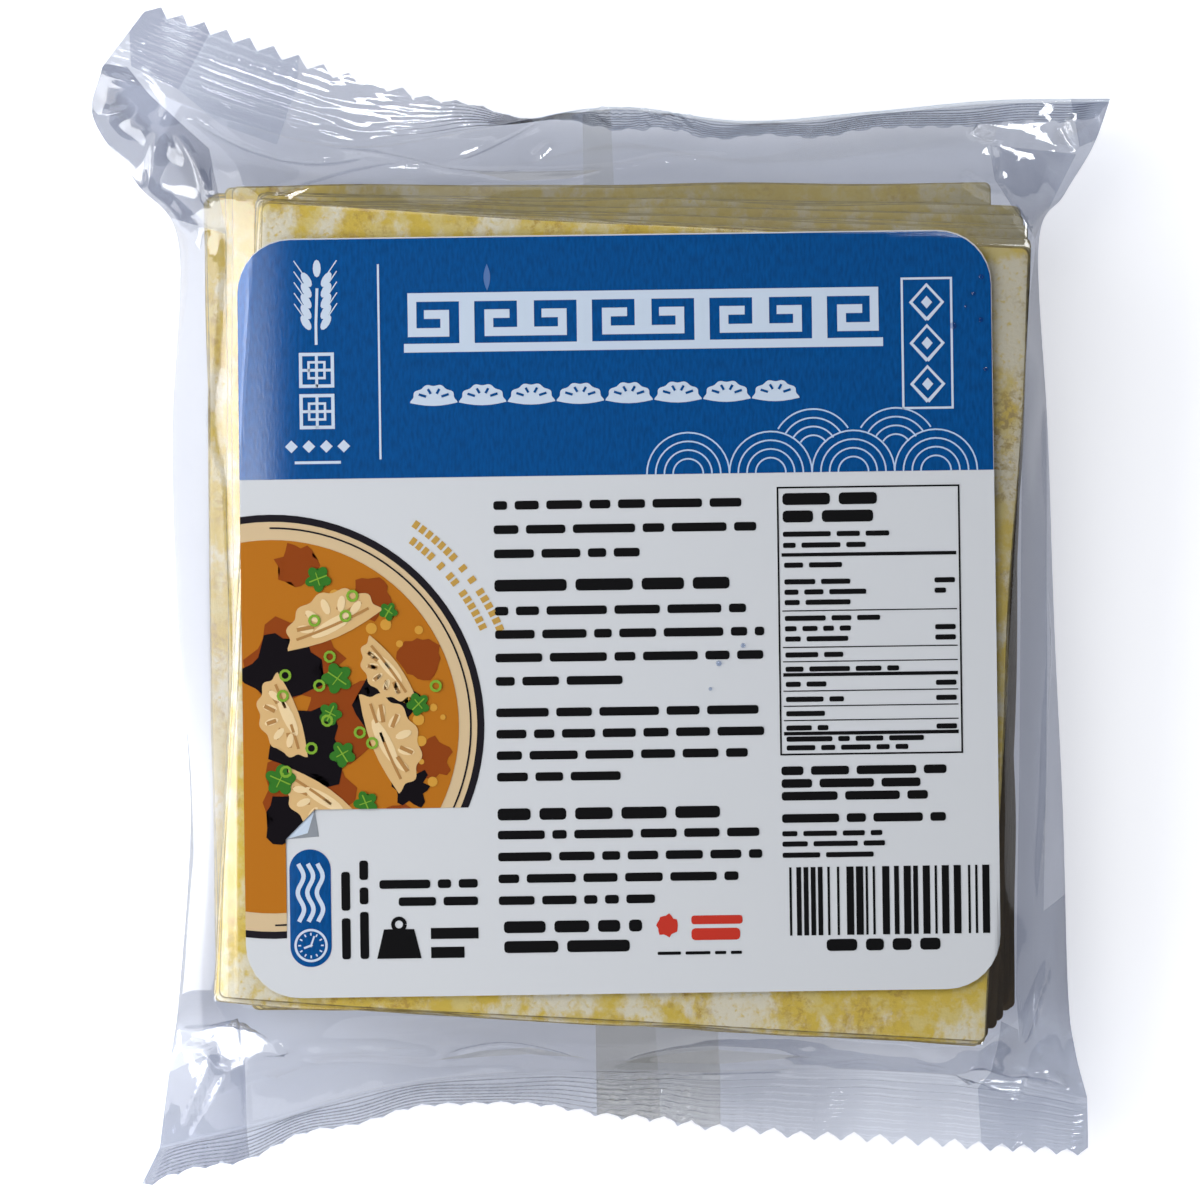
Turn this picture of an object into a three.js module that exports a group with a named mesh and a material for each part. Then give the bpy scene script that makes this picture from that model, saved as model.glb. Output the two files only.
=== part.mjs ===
// A pack of wonton wrappers: a square stack of thin dough sheets, sealed in a clear flow-wrap
// film bag, with a large square label stuck on top. The pack lies flat, label up.
// Millimetres, +Z up, +Y towards the end with the folded seal. The origin is on the surface
// that the pack lies on, at the middle of the pack's outline.
//
// The bag is one closed solid of the pack's outer form. It is a loft of rows that run across
// the pack, from the serrated edge of the near seal to that of the far seal. Each row has
// points on the upper film and points on the lower film. A place on a row is a share across
// the flattened film tube, 0 at its left fold and 1 at its right fold.

import * as THREE from 'three';

// Driving sizes of the stack: 38 sheets of 0.5 mm, whose upper ones have twisted clockwise
const STACK_TOP_Z = 19.8; // with the film under and over the sheets
const STACK_WIDE = 97; // across the pack
const STACK_LONG = 100.7; // along the pack
const STACK_TURN = THREE.MathUtils.degToRad(-3.5);
const STACK_CENTRE = new THREE.Vector2(2.9, -3.4);

// Driving sizes of the film and its two seals
const TUBE_WIDE = 128; // the film tube, pressed flat
const FILM_EDGE = 0.8; // the bag's thin rim, thicker than two plies of film
const FIN_LONG = 10; // from a seal's root to its serrated edge
const TOOTH_PITCH = 3.5;
const TOOTH_DEEP = 1.3;
const RIDGES = 8; // crimp ridges pressed into each seal
const RIDGE_HIGH = 0.22;

// Driving sizes of the label
const LABEL_WIDE = 95;
const LABEL_LONG = 95.6;
const LABEL_CORNER = 6.8;
const LABEL_THICK = 0.35;
const LABEL_GAP = 0.3; // clearance between the label and the film it is stuck to
const LABEL_TURN = THREE.MathUtils.degToRad(0.8);
const LABEL_CENTRE = new THREE.Vector2(2.35, -2);

// The two seals, as points x, y, z at nine places spaced evenly across the tube, from left to
// right. The far seal stands out flat at its left end, twists, and hangs tucked under to the
// right.
const FAR_EDGE = [
  [-57, 75.4, 14], [-44, 71, 13.8], [-29.4, 66.2, 9.6], [-13.8, 62.6, 3], [2, 60.8, 1],
  [18.6, 59.2, 1], [34.6, 60.2, 1], [50.4, 61, 1.2], [63.6, 61.4, 2],
];
const FAR_ROOT = [
  [-63.2, 67.4, 13], [-48.6, 61.2, 13.4], [-32, 57.4, 12.6], [-15.2, 59.8, 11], [1.6, 62.6, 10],
  [18.2, 60.8, 10], [34.6, 62, 10], [50, 63.4, 10], [65, 63.6, 10],
];
// The near seal hangs down at its left end and stands out nearly flat to the right.
const NEAR_EDGE = [
  [-59.2, -76, 1.2], [-43.6, -71.2, 1.2], [-28.8, -66.6, 1.2], [-13.2, -65, 1.2], [2.8, -67, 2.6],
  [19.2, -68.8, 4.6], [35, -69.8, 5], [49.6, -70.8, 4.8], [62.6, -71.4, 4],
];
const NEAR_ROOT = [
  [-56.2, -70.2, 8], [-43, -67, 9.8], [-28.2, -62.6, 10.4], [-12.8, -60.6, 10.2], [3.2, -60.6, 9.8],
  [19.2, -60.2, 9.4], [35, -60.2, 9], [49.6, -61.4, 8.6], [62.2, -63.8, 8],
];
// The left and right folds of the tube, from the far seal's root to the near seal's. The film
// draws in to a waist beside the stack's far corners, and flares out again at both seals.
const LEFT_FOLD = [
  [-63.2, 67.4, 13], [-64.4, 61, 12], [-59, 52.8, 10.5], [-53.7, 45, 9.5], [-54.5, 21, 9.5],
  [-53.8, -3, 9.5], [-52.2, -27, 9], [-53.6, -50, 9], [-54.8, -59, 8.5], [-56.2, -70.2, 8],
];
const RIGHT_FOLD = [
  [65, 63.6, 10], [62.8, 57.5, 10], [59.1, 51.3, 9.5], [55.9, 45, 9.5], [57.1, 21, 9],
  [57.9, -3, 9], [59, -27, 9], [59.7, -50, 8.5], [60.6, -57.5, 8.5], [62.2, -63.8, 8],
];
const FAR_STACK_STEP = 3; // the fold points that lie beside the stack's far and near edges
const NEAR_STACK_STEP = 7;

// How the film falls from the stack's top edge: the first power rounds it over the edge, and
// the second one straightens or hollows the rest.
const FLANK_ROUND = 1.15;
const FLANK_FALL = 0.9;
const END_ROUND = 1.2;
const END_FALL = 1.3;

// The lower film is flat under the stack and on for these shares of the way to the fold or
// the seal. From there it curves up.
const FLAT_BESIDE = 0.6;
const FLAT_PAST = 0.55;
const RISE_BESIDE = 1.6;
const RISE_PAST = 1.6;

// Steps of the loft
const LEFT_SHARE = 0.14; // where the film passes over the stack's left edge, and its right
const RIGHT_SHARE = 0.86;
const STEPS_FLANK = 5;
const STEPS_TOP = 18;
const STEPS_BESIDE_STACK = 12;
const STEPS_PAST_STACK = 6;

const PLAN_ORIGIN = new THREE.Vector2();
const UP = new THREE.Vector3(0, 0, 1);

// A smooth curve through evenly spaced points. t runs from 0 to 1.
function through(points, t) {
  const corners = points.map((p) => new THREE.Vector3(...p));
  const curve = new THREE.CatmullRomCurve3(corners, false, 'catmullrom', 0.5);
  return curve.getPoint(THREE.MathUtils.clamp(t, 0, 1));
}

// A corner of the stack's top sheet: side -1 is left and end -1 is near
function stackCorner(side, end) {
  const flat = new THREE.Vector2(side * STACK_WIDE / 2, end * STACK_LONG / 2);
  flat.rotateAround(PLAN_ORIGIN, STACK_TURN).add(STACK_CENTRE);
  return new THREE.Vector3(flat.x, flat.y, STACK_TOP_Z);
}

// How far a place on a row is out beside the stack: 0 over the stack and 1 at the fold
function besideStack(share) {
  if (share < LEFT_SHARE) return 1 - share / LEFT_SHARE;
  return Math.max(0, (share - RIGHT_SHARE) / (1 - RIGHT_SHARE));
}

// The fold on a place's side of the tube, at a step between its far and near ends
function foldAt(share, step) {
  const fold = share < 0.5 ? LEFT_FOLD : RIGHT_FOLD;
  return through(fold, step / (fold.length - 1));
}

function foldStepBeside(along) {
  return THREE.MathUtils.lerp(NEAR_STACK_STEP, FAR_STACK_STEP, along);
}

// The upper film beside the stack: along is 0 at the stack's near edge and 1 at its far edge.
function filmBesideStack(share, along) {
  const left = stackCorner(-1, -1).lerp(stackCorner(-1, 1), along);
  const right = stackCorner(1, -1).lerp(stackCorner(1, 1), along);
  const out = besideStack(share);
  if (out === 0) return left.lerp(right, (share - LEFT_SHARE) / (RIGHT_SHARE - LEFT_SHARE));
  const top = share < LEFT_SHARE ? left : right;
  const fold = foldAt(share, foldStepBeside(along));
  const point = top.clone().lerp(fold, out);
  point.z = fold.z + (top.z - fold.z) * (1 - out ** FLANK_ROUND) ** FLANK_FALL;
  return point;
}

// The upper film past an end of the stack: out is 0 at the stack and 1 at the seal's root.
function filmPastStack(share, out, far) {
  const inner = filmBesideStack(share, far ? 1 : 0);
  const root = through(far ? FAR_ROOT : NEAR_ROOT, share);
  const point = inner.clone().lerp(root, out);
  point.z = root.z + (inner.z - root.z) * (1 - out ** END_ROUND) ** END_FALL;
  // The folds curve in plan, and the film beside them follows.
  const atStack = far ? FAR_STACK_STEP : NEAR_STACK_STEP;
  const atSeal = far ? 0 : LEFT_FOLD.length - 1;
  const straight = foldAt(share, atStack).lerp(foldAt(share, atSeal), out);
  const curved = foldAt(share, THREE.MathUtils.lerp(atStack, atSeal, out));
  const pull = besideStack(share) ** 1.5;
  point.x += (curved.x - straight.x) * pull;
  point.y += (curved.y - straight.y) * pull;
  return point;
}

// Height of the lower film under a point of the upper film
function lowerHeight(share, out, upper, foldZ, rootZ) {
  const beside = Math.max(0, (besideStack(share) - FLAT_BESIDE) / (1 - FLAT_BESIDE));
  const past = Math.max(0, (out - FLAT_PAST) / (1 - FLAT_PAST));
  const atFold = (foldZ - FILM_EDGE / 2) * beside ** RISE_BESIDE;
  const atRoot = rootZ - FILM_EDGE / 2;
  const height = THREE.MathUtils.lerp(atFold, atRoot, past ** RISE_PAST);
  return Math.min(height, upper.z - FILM_EDGE);
}

// Shares of the loft's rows across the bag
function bodyShares() {
  const left = Array.from({ length: STEPS_FLANK }, (_, i) => LEFT_SHARE * i / STEPS_FLANK);
  const top = Array.from({ length: STEPS_TOP + 1 },
    (_, i) => THREE.MathUtils.lerp(LEFT_SHARE, RIGHT_SHARE, i / STEPS_TOP));
  return [...left, ...top, ...left.map((share) => 1 - share).reverse()];
}

const BODY_SHARES = bodyShares();

// A row of the loft: film gives the upper film, and out is how far past the stack it is
function bodyRow(film, out, far) {
  const upper = BODY_SHARES.map(film);
  const lower = BODY_SHARES.map((share, i) => {
    const foldZ = film(share < 0.5 ? 0 : 1).z;
    const rootZ = through(far ? FAR_ROOT : NEAR_ROOT, share).z;
    const z = lowerHeight(share, out, upper[i], foldZ, rootZ);
    return new THREE.Vector3(upper[i].x, upper[i].y, z);
  });
  upper.at(0).z = lower.at(0).z + FILM_EDGE;
  upper.at(-1).z = lower.at(-1).z + FILM_EDGE;
  return { shares: BODY_SHARES, upper, lower };
}

function rowsBesideStack() {
  const steps = Array.from({ length: STEPS_BESIDE_STACK + 1 }, (_, i) => i / STEPS_BESIDE_STACK);
  return steps.map((along) => bodyRow((share) => filmBesideStack(share, along), 0, true));
}

// Rows from the stack's end outwards, without the row at the stack and that at the root
function rowsPastStack(far) {
  const steps = Array.from({ length: STEPS_PAST_STACK - 1 }, (_, i) => (i + 1) / STEPS_PAST_STACK);
  return steps.map((out) => bodyRow((share) => filmPastStack(share, out, far), out, far));
}

// The middle of a seal, whose two plies are welded flat: out is 1 at the serrated edge.
function sealMiddle(share, out, far) {
  const root = through(far ? FAR_ROOT : NEAR_ROOT, share);
  return root.lerp(through(far ? FAR_EDGE : NEAR_EDGE, share), out);
}

// The direction out of a seal's upper ply
function sealNormal(share, out, far) {
  const reach = 0.01;
  const low = sealMiddle(Math.max(0, share - reach), out, far);
  const across = sealMiddle(Math.min(1, share + reach), out, far).sub(low);
  const outward = sealMiddle(share, 1, far).sub(sealMiddle(share, 0, far));
  return across.cross(outward).multiplyScalar(far ? 1 : -1).normalize();
}

// A row of a seal. outAt gives the reach of each place, and ridge lifts the row off the middle.
function sealRow(shares, outAt, ridge, far) {
  const upper = [];
  const lower = [];
  shares.forEach((share, i) => {
    const out = outAt(i);
    const normal = sealNormal(share, out, far);
    if (out === 0) normal.add(UP).normalize();
    const middle = sealMiddle(share, out, far).addScaledVector(normal, ridge);
    upper.push(middle.clone().addScaledVector(normal, FILM_EDGE / 2));
    lower.push(middle.clone().addScaledVector(normal, -FILM_EDGE / 2));
  });
  return { shares, upper, lower };
}

// A seal's rows from its root outwards: the crimp ridges, then the teeth
function sealRows(far) {
  const plain = 1 - TOOTH_DEEP / FIN_LONG;
  const rows = [sealRow(BODY_SHARES, () => 0, 0, far)];
  for (let i = 1; i <= 2 * RIDGES; i += 1) {
    const ridge = i % 2 ? RIDGE_HIGH : -RIDGE_HIGH;
    rows.push(sealRow(BODY_SHARES, () => plain * i / (2 * RIDGES + 1), ridge, far));
  }
  const places = 2 * Math.round(TUBE_WIDE / TOOTH_PITCH);
  const shares = Array.from({ length: places + 1 }, (_, i) => i / places);
  rows.push(sealRow(shares, (i) => (i % 2 ? 1 : plain), 0, far));
  return rows;
}

// Triangles between two neighbouring rows of one film, whose numbers of points may differ
function zip(rowA, rowB, film, facesUp, add) {
  const a = rowA[film];
  const b = rowB[film];
  let i = 0;
  let j = 0;
  while (i < a.length - 1 || j < b.length - 1) {
    const nextA = rowA.shares[i + 1] ?? Infinity;
    const nextB = rowB.shares[j + 1] ?? Infinity;
    const third = nextA <= nextB ? a[i + 1] : b[j + 1];
    if (facesUp) add(a[i], third, b[j]);
    else add(a[i], b[j], third);
    if (nextA <= nextB) i += 1;
    else j += 1;
  }
}

// Two triangles over the corners of a strip between points of the two films
function strip(lowA, lowB, highB, highA, add) {
  add(lowA, lowB, highB);
  add(lowA, highB, highA);
}

// One closed surface through a list of rows, the nearest first
function closedLoft(rows) {
  const corners = [];
  const add = (...points) => points.forEach((p) => corners.push(p.x, p.y, p.z));
  for (let r = 0; r < rows.length - 1; r += 1) {
    const a = rows[r];
    const b = rows[r + 1];
    zip(a, b, 'upper', true, add);
    zip(a, b, 'lower', false, add);
    strip(b.lower.at(0), a.lower.at(0), a.upper.at(0), b.upper.at(0), add);
    strip(a.lower.at(-1), b.lower.at(-1), b.upper.at(-1), a.upper.at(-1), add);
  }
  const near = rows.at(0);
  const far = rows.at(-1);
  for (let i = 0; i < near.upper.length - 1; i += 1) {
    strip(near.lower[i], near.lower[i + 1], near.upper[i + 1], near.upper[i], add);
  }
  for (let i = 0; i < far.upper.length - 1; i += 1) {
    strip(far.lower[i + 1], far.lower[i], far.upper[i], far.upper[i + 1], add);
  }
  const geometry = new THREE.BufferGeometry();
  geometry.setAttribute('position', new THREE.Float32BufferAttribute(corners, 3));
  geometry.computeVertexNormals();
  return geometry;
}

// Height of the upper film at a place in plan, from the triangles between the loft's rows
function filmHeight(rows, x, y) {
  let height = 0;
  const add = (a, b, c) => {
    const area = (b.x - a.x) * (c.y - a.y) - (c.x - a.x) * (b.y - a.y);
    const u = ((b.x - x) * (c.y - y) - (c.x - x) * (b.y - y)) / area;
    const v = ((c.x - x) * (a.y - y) - (a.x - x) * (c.y - y)) / area;
    const w = 1 - u - v;
    if (Math.min(u, v, w) >= -1e-6) height = Math.max(height, u * a.z + v * b.z + w * c.z);
  };
  for (let r = 0; r < rows.length - 1; r += 1) zip(rows[r], rows[r + 1], 'upper', true, add);
  return height;
}

// The label bridges the film's small folds, so it lies on the highest film within a short reach.
function labelHeight(rows, x, y) {
  const reach = 0.9;
  const around = [[0, 0], [reach, 0], [-reach, 0], [0, reach], [0, -reach]];
  return Math.max(...around.map(([dx, dy]) => filmHeight(rows, x + dx, y + dy)));
}

// Half the label's width at a distance from its middle, between the rounded corners
function labelHalfWidth(y) {
  const past = Math.max(0, Math.abs(y) - (LABEL_LONG / 2 - LABEL_CORNER));
  return LABEL_WIDE / 2 - LABEL_CORNER + Math.sqrt(LABEL_CORNER ** 2 - past ** 2);
}

// The label's rows, close together at its corners, as are the places on each row
function labelRows(film) {
  const stepsCorner = 6;
  const stepsSide = 12;
  const stepsWide = 24;
  const straight = LABEL_LONG / 2 - LABEL_CORNER;
  const corner = Array.from({ length: stepsCorner },
    (_, i) => straight + LABEL_CORNER * Math.sin(Math.PI / 2 * (i + 1) / stepsCorner));
  const side = Array.from({ length: stepsSide + 1 }, (_, i) => (2 * i / stepsSide - 1) * straight);
  const places = [...corner.map((y) => -y).reverse(), ...side, ...corner];
  const shares = Array.from({ length: stepsWide + 1 },
    (_, i) => (1 - Math.cos(Math.PI * i / stepsWide)) / 2);
  return places.map((y) => {
    const half = labelHalfWidth(y);
    const lower = shares.map((share) => {
      const flat = new THREE.Vector2((2 * share - 1) * half, y);
      flat.rotateAround(PLAN_ORIGIN, LABEL_TURN).add(LABEL_CENTRE);
      return new THREE.Vector3(flat.x, flat.y, labelHeight(film, flat.x, flat.y) + LABEL_GAP);
    });
    const upper = lower.map((p) => p.clone().addScaledVector(UP, LABEL_THICK));
    return { shares, upper, lower };
  });
}

// The rows of the bag between its two seals
const BODY_ROWS = [
  ...rowsPastStack(false).reverse(), ...rowsBesideStack(), ...rowsPastStack(true),
];

function filmBag() {
  const rows = [...sealRows(false).reverse(), ...BODY_ROWS, ...sealRows(true)];
  const material = new THREE.MeshStandardMaterial({ color: 0xdcd4ae, roughness: 0.12, metalness: 0 });
  const mesh = new THREE.Mesh(closedLoft(rows), material);
  mesh.name = 'film_bag';
  return mesh;
}

function label() {
  const material = new THREE.MeshStandardMaterial({ color: 0xe4e9ef, roughness: 0.4, metalness: 0 });
  const mesh = new THREE.Mesh(closedLoft(labelRows(BODY_ROWS)), material);
  mesh.name = 'label';
  return mesh;
}

const pack = new THREE.Group();
pack.add(filmBag(), label());

export default pack;
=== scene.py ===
# %% [markdown]
# # A pack of wonton wrappers
# A square stack of thin dough sheets lies in a clear flow-wrap bag, with a large square label
# stuck on top. The CAD model holds the pack's outer form as two solids. Here the bag's solid is
# replaced by its film and what is inside it, and the label's by a printed paper sheet.
# All sizes are millimetres and turn to metres only where a mesh or a light is made.

import math

import bmesh
import bpy
import numpy as np
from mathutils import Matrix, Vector
from mathutils.bvhtree import BVHTree


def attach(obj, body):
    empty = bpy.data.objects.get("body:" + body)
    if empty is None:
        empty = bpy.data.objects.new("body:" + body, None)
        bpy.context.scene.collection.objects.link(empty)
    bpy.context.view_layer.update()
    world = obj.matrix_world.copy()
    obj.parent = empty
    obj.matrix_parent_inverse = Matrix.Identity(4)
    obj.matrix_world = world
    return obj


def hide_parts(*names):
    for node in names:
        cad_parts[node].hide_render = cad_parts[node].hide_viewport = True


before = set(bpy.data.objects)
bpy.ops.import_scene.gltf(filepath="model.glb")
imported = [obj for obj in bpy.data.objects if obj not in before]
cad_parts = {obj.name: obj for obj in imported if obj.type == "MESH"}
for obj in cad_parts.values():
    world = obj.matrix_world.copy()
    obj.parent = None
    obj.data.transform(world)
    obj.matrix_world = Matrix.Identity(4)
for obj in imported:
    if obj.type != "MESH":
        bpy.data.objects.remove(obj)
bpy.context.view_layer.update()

# %% [markdown]
# ## Helpers
# Colours are written as sRGB hex, as a paint chart gives them, and Blender wants them linear.
# One function adds a shader node with its settings and links, so every material reads as a list.

# %% Colours and nodes
MM = 0.001


def linear(hex_colour):
    """Linear RGBA of an sRGB hex colour such as "#c8a040\""""
    parts = [int(hex_colour[i:i + 2], 16) / 255 for i in (1, 3, 5)]
    return tuple(c / 12.92 if c < 0.04045 else ((c + 0.055) / 1.055) ** 2.4 for c in parts) + (1.0,)


TIMES = {"operation": "MULTIPLY"}
SOFT_STEP = {"interpolation_type": "SMOOTHSTEP"}
COLOURS = {"data_type": "RGBA"}


def add_node(tree, kind, settings=None, inputs=None):
    """Adds a node. An input is a value, or a node or one of its outputs to link from."""
    made = tree.nodes.new(kind)
    for field, value in (settings or {}).items():
        setattr(made, field, value)
    for socket, value in (inputs or {}).items():
        if isinstance(value, bpy.types.Node):
            value = next(output for output in value.outputs if output.enabled)
        if isinstance(value, bpy.types.NodeSocket):
            tree.links.new(value, made.inputs[socket])
        else:
            made.inputs[socket].default_value = value
    return made


def new_material(name):
    """An empty node material and its tree"""
    material = bpy.data.materials.new(name)
    material.use_nodes = True
    material.node_tree.nodes.clear()
    print("material:", name)
    return material, material.node_tree


# %% [markdown]
# Meshes come from lists of points in millimetres. Thin flat shapes go through bmesh instead: it
# can cut a face along planes, and a face that has been cut can bend with what it lies on.


# %% Meshes
def in_scene(mesh, material, smooth):
    """An object of a mesh, in one material"""
    mesh.materials.append(material)
    mesh.polygons.foreach_set("use_smooth", [smooth] * len(mesh.polygons))
    made = bpy.data.objects.new(mesh.name, mesh)
    bpy.context.scene.collection.objects.link(made)
    print(mesh.name, len(mesh.polygons), "faces")
    return made


def mesh_piece(name, points, faces, material, smooth=True):
    """A mesh object from points in millimetres"""
    mesh = bpy.data.meshes.new(name)
    mesh.from_pydata((np.asarray(points) * MM).tolist(), [], [tuple(f) for f in faces])
    mesh.update()
    return in_scene(mesh, material, smooth)


def cut_shapes(shapes, cuts_across, cuts_along, stagger=0.0):
    """Flat shapes as one bmesh, cut along lines so that it can bend, each a little over the last"""
    bm = bmesh.new()
    for k, shape in enumerate(shapes):
        bm.faces.new([bm.verts.new((u, v, k % 5 * stagger)) for u, v in shape])
    bmesh.ops.triangulate(bm, faces=bm.faces[:])
    for normal, cuts in (((1, 0, 0), cuts_across), ((0, 1, 0), cuts_along)):
        for cut in cuts:
            bmesh.ops.bisect_plane(bm, geom=bm.verts[:] + bm.edges[:] + bm.faces[:],
                                   plane_co=Vector(normal) * float(cut), plane_no=normal)
    return bm


def bmesh_piece(name, bm, material, smooth):
    """A mesh object from a bmesh whose points are in metres"""
    mesh = bpy.data.meshes.new(name)
    bm.to_mesh(mesh)
    bm.free()
    return in_scene(mesh, material, smooth)


def grid_faces(rows, columns, up=True):
    """Quads between the points of a grid that runs row by row"""
    r, c = np.meshgrid(np.arange(rows - 1), np.arange(columns - 1), indexing="ij")
    first = (r * columns + c).ravel()
    quads = np.stack([first, first + 1, first + columns + 1, first + columns], axis=1)
    return quads if up else quads[:, ::-1]


def mix(a, b, t):
    return a + (b - a) * t


def smooth_step(t):
    t = np.clip(t, 0, 1)
    return t * t * (3 - 2 * t)


# %% [markdown]
# ## Camera
# The photograph was taken straight down from about 0.9 m above the label, with the far seal at
# the top of the picture. At that distance a 214 mm lens on a 36 mm frame sees 151 mm.

# %% Camera
LABEL_PLANE = 19.5
CAMERA_RISE = 900
LENS = 214.3
camera_data = bpy.data.cameras.new("camera")
camera_data.lens = LENS
camera_data.sensor_width = 36
camera = bpy.data.objects.new("camera", camera_data)
camera.location = Vector((0, -0.25, LABEL_PLANE + CAMERA_RISE)) * MM
bpy.context.scene.collection.objects.link(camera)
bpy.context.scene.camera = camera
print("camera sees", round(36 / LENS * CAMERA_RISE, 1), "mm across the label")

# %% [markdown]
# ## Floor and light
# The pack lies on an opal light table, which glows a little, so the clear film lets a pale grey
# through from below. That is how a product picture keeps film bright on a white ground.
# One big soft light stands on the left and the right is darker, so the stack has a brown shaded
# side. Nothing hangs right over the pack, or flat film and the label's varnish would mirror it.

# %% Floor
floor_paint, tree = new_material("opal acrylic light table")
shader = add_node(tree, "ShaderNodeBsdfPrincipled", inputs={
    "Base Color": linear("#f0f0f0"), "Roughness": 0.9, "Specular IOR Level": 0.1,
    "Emission Color": linear("#f6f8ff"), "Emission Strength": 0.6})
add_node(tree, "ShaderNodeOutputMaterial", inputs={"Surface": shader})
FLOOR_HALF = 2500
floor = mesh_piece("floor", [(-FLOOR_HALF, -FLOOR_HALF, 0), (FLOOR_HALF, -FLOOR_HALF, 0),
                             (FLOOR_HALF, FLOOR_HALF, 0), (-FLOOR_HALF, FLOOR_HALF, 0)],
                   [(0, 1, 2, 3)], floor_paint, smooth=False)

# %% [markdown]
# Film shows by what it mirrors, and it mirrors a light whose angle from straight up is twice the
# film's own slope. Each glare light below stands where one part of the film needs it: a low pool
# and a wall for the veil on the left side, small hard ones for the streaks of the far seal, for
# the corners and for the label's curled edge. A photographer sets such cards by eye.

# %% Soft lights
LIGHTS = {
    # name: (place, looks at, width, height, radiance)
    "left_softbox": ((-420, 14, 215), (0, 0, 40), 770, 390, 3.4),
    "left_glare": ((-421, -190, 135), (0, -60, 40), 160, 115, 11.0),
    "left_pool": ((-228, 81, 1), (-228.008, 80.8, 100), 344, 250, 2.9),
    "left_wall": ((-470, 40, 85), (0, 40, 20), 300, 130, 7.0),
    "far_glare": ((500, 560, 565), (0, 60, 10), 380, 240, 24.0),
    "fin_glare": ((217, 491, 507), (-30, 62, 12), 200, 130, 19.0),
    "near_glare": ((280, -391, 454), (50, -62, 8), 150, 120, 20.0),
    "margin_glare": ((-327, -16, 433), (-47, -16, 19), 100, 262, 8.8),
    "label_glare": ((-370, -30, 860), (0, -20, 20), 260, 190, 2.6),
    "top_softbox": ((-350, 600, 900), (0, 0, 0), 900, 600, 1.6),
    "near_softbox": ((-350, -800, 700), (0, 0, 0), 1000, 500, 1.4),
    "right_softbox": ((900, 0, 900), (0, 0, 0), 800, 500, 0.35),
}
# These brighten the film's gloss without burning out the table
MIRRORED_ONLY = ("left_glare", "left_pool", "left_wall", "far_glare", "fin_glare", "near_glare",
                 "margin_glare", "label_glare")
for name, (place, target, width, height, radiance) in LIGHTS.items():
    lamp = bpy.data.lights.new(name, "AREA")
    lamp.shape = "RECTANGLE"
    lamp.size = width * MM
    lamp.size_y = height * MM
    lamp.energy = radiance * math.pi * lamp.size * lamp.size_y
    holder = bpy.data.objects.new(name, lamp)
    holder.location = Vector(place) * MM
    holder.rotation_euler = (Vector(target) - Vector(place)).to_track_quat("-Z", "Y").to_euler()
    holder.visible_diffuse = name not in MIRRORED_ONLY
    holder.visible_camera = False
    bpy.context.scene.collection.objects.link(holder)
    print(name, round(lamp.energy, 2), "W")

# %% [markdown]
# What no lamp reaches is lit by the world. It is brighter on the left than on the right, and
# nearly dark overhead, where flat film would mirror it into the camera.

# %% Studio air
AIR_LEFT = 0.48
AIR_RIGHT = 0.1
AIR_OVERHEAD = 0.05  # share that is left round the camera, as under a dark ceiling
world = bpy.data.worlds.new("studio air")
world.use_nodes = True
tree = world.node_tree
direction = add_node(tree, "ShaderNodeTexCoord")
parts = add_node(tree, "ShaderNodeSeparateXYZ", inputs={0: direction.outputs["Generated"]})
flagged = add_node(tree, "ShaderNodeMapRange", SOFT_STEP, {
    "Value": parts.outputs[0], "From Min": -0.2, "From Max": 0.7,
    "To Min": AIR_LEFT, "To Max": AIR_RIGHT})
shaded = add_node(tree, "ShaderNodeMapRange", SOFT_STEP, {
    "Value": parts.outputs[2], "From Min": 0.75, "From Max": 0.95,
    "To Min": 1.0, "To Max": AIR_OVERHEAD})
strength = add_node(tree, "ShaderNodeMath", TIMES, {0: flagged, 1: shaded})
tree.links.new(strength.outputs[0], tree.nodes["Background"].inputs[1])
tree.nodes["Background"].inputs[0].default_value = linear("#eef2fb")
bpy.context.scene.world = world
print("air from", AIR_RIGHT, "at the right to", AIR_LEFT, "at the left")
bpy.context.scene.view_settings.view_transform = "Standard"

# %% [markdown]
# ## The bag's form
# The bag is one tube of film, pressed flat at its two ends and welded there. A place on the film
# is a share across the flattened tube and a distance past the stack or beside it. The curves
# below are the same as in the CAD source, so the film lies where the bag's solid is, and the
# mesh is finer, so that it can crease.

# %% Sizes of the bag
STACK_TOP = 19.8
STACK_WIDE = 97
STACK_LONG = 100.7
STACK_TURN = math.radians(-3.5)
STACK_CENTRE = (2.9, -3.4)
FIN_LONG = 10
TOOTH_DEEP = 1.3
TEETH = 37
RIDGES = 9
LEFT_SHARE = 0.14
RIGHT_SHARE = 0.86

# the seals' serrated edges and roots, from the left, and the side folds, from the far end
FAR_EDGE = [
    (-57, 75.4, 14), (-44, 71, 13.8), (-29.4, 66.2, 9.6), (-13.8, 62.6, 3), (2, 60.8, 1),
    (18.6, 59.2, 1), (34.6, 60.2, 1), (50.4, 61, 1.2), (63.6, 61.4, 2),
]
FAR_ROOT = [
    (-63.2, 67.4, 13), (-48.6, 61.2, 13.4), (-32, 57.4, 12.6), (-15.2, 59.8, 11), (1.6, 62.6, 10),
    (18.2, 60.8, 10), (34.6, 62, 10), (50, 63.4, 10), (65, 63.6, 10),
]
NEAR_EDGE = [
    (-59.2, -76, 1.2), (-43.6, -71.2, 1.2), (-28.8, -66.6, 1.2), (-13.2, -65, 1.2), (2.8, -67, 2.6),
    (19.2, -68.8, 4.6), (35, -69.8, 5), (49.6, -70.8, 4.8), (62.6, -71.4, 4),
]
NEAR_ROOT = [
    (-56.2, -70.2, 8), (-43, -67, 9.8), (-28.2, -62.6, 10.4), (-12.8, -60.6, 10.2),
    (3.2, -60.6, 9.8), (19.2, -60.2, 9.4), (35, -60.2, 9), (49.6, -61.4, 8.6), (62.2, -63.8, 8),
]
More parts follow.
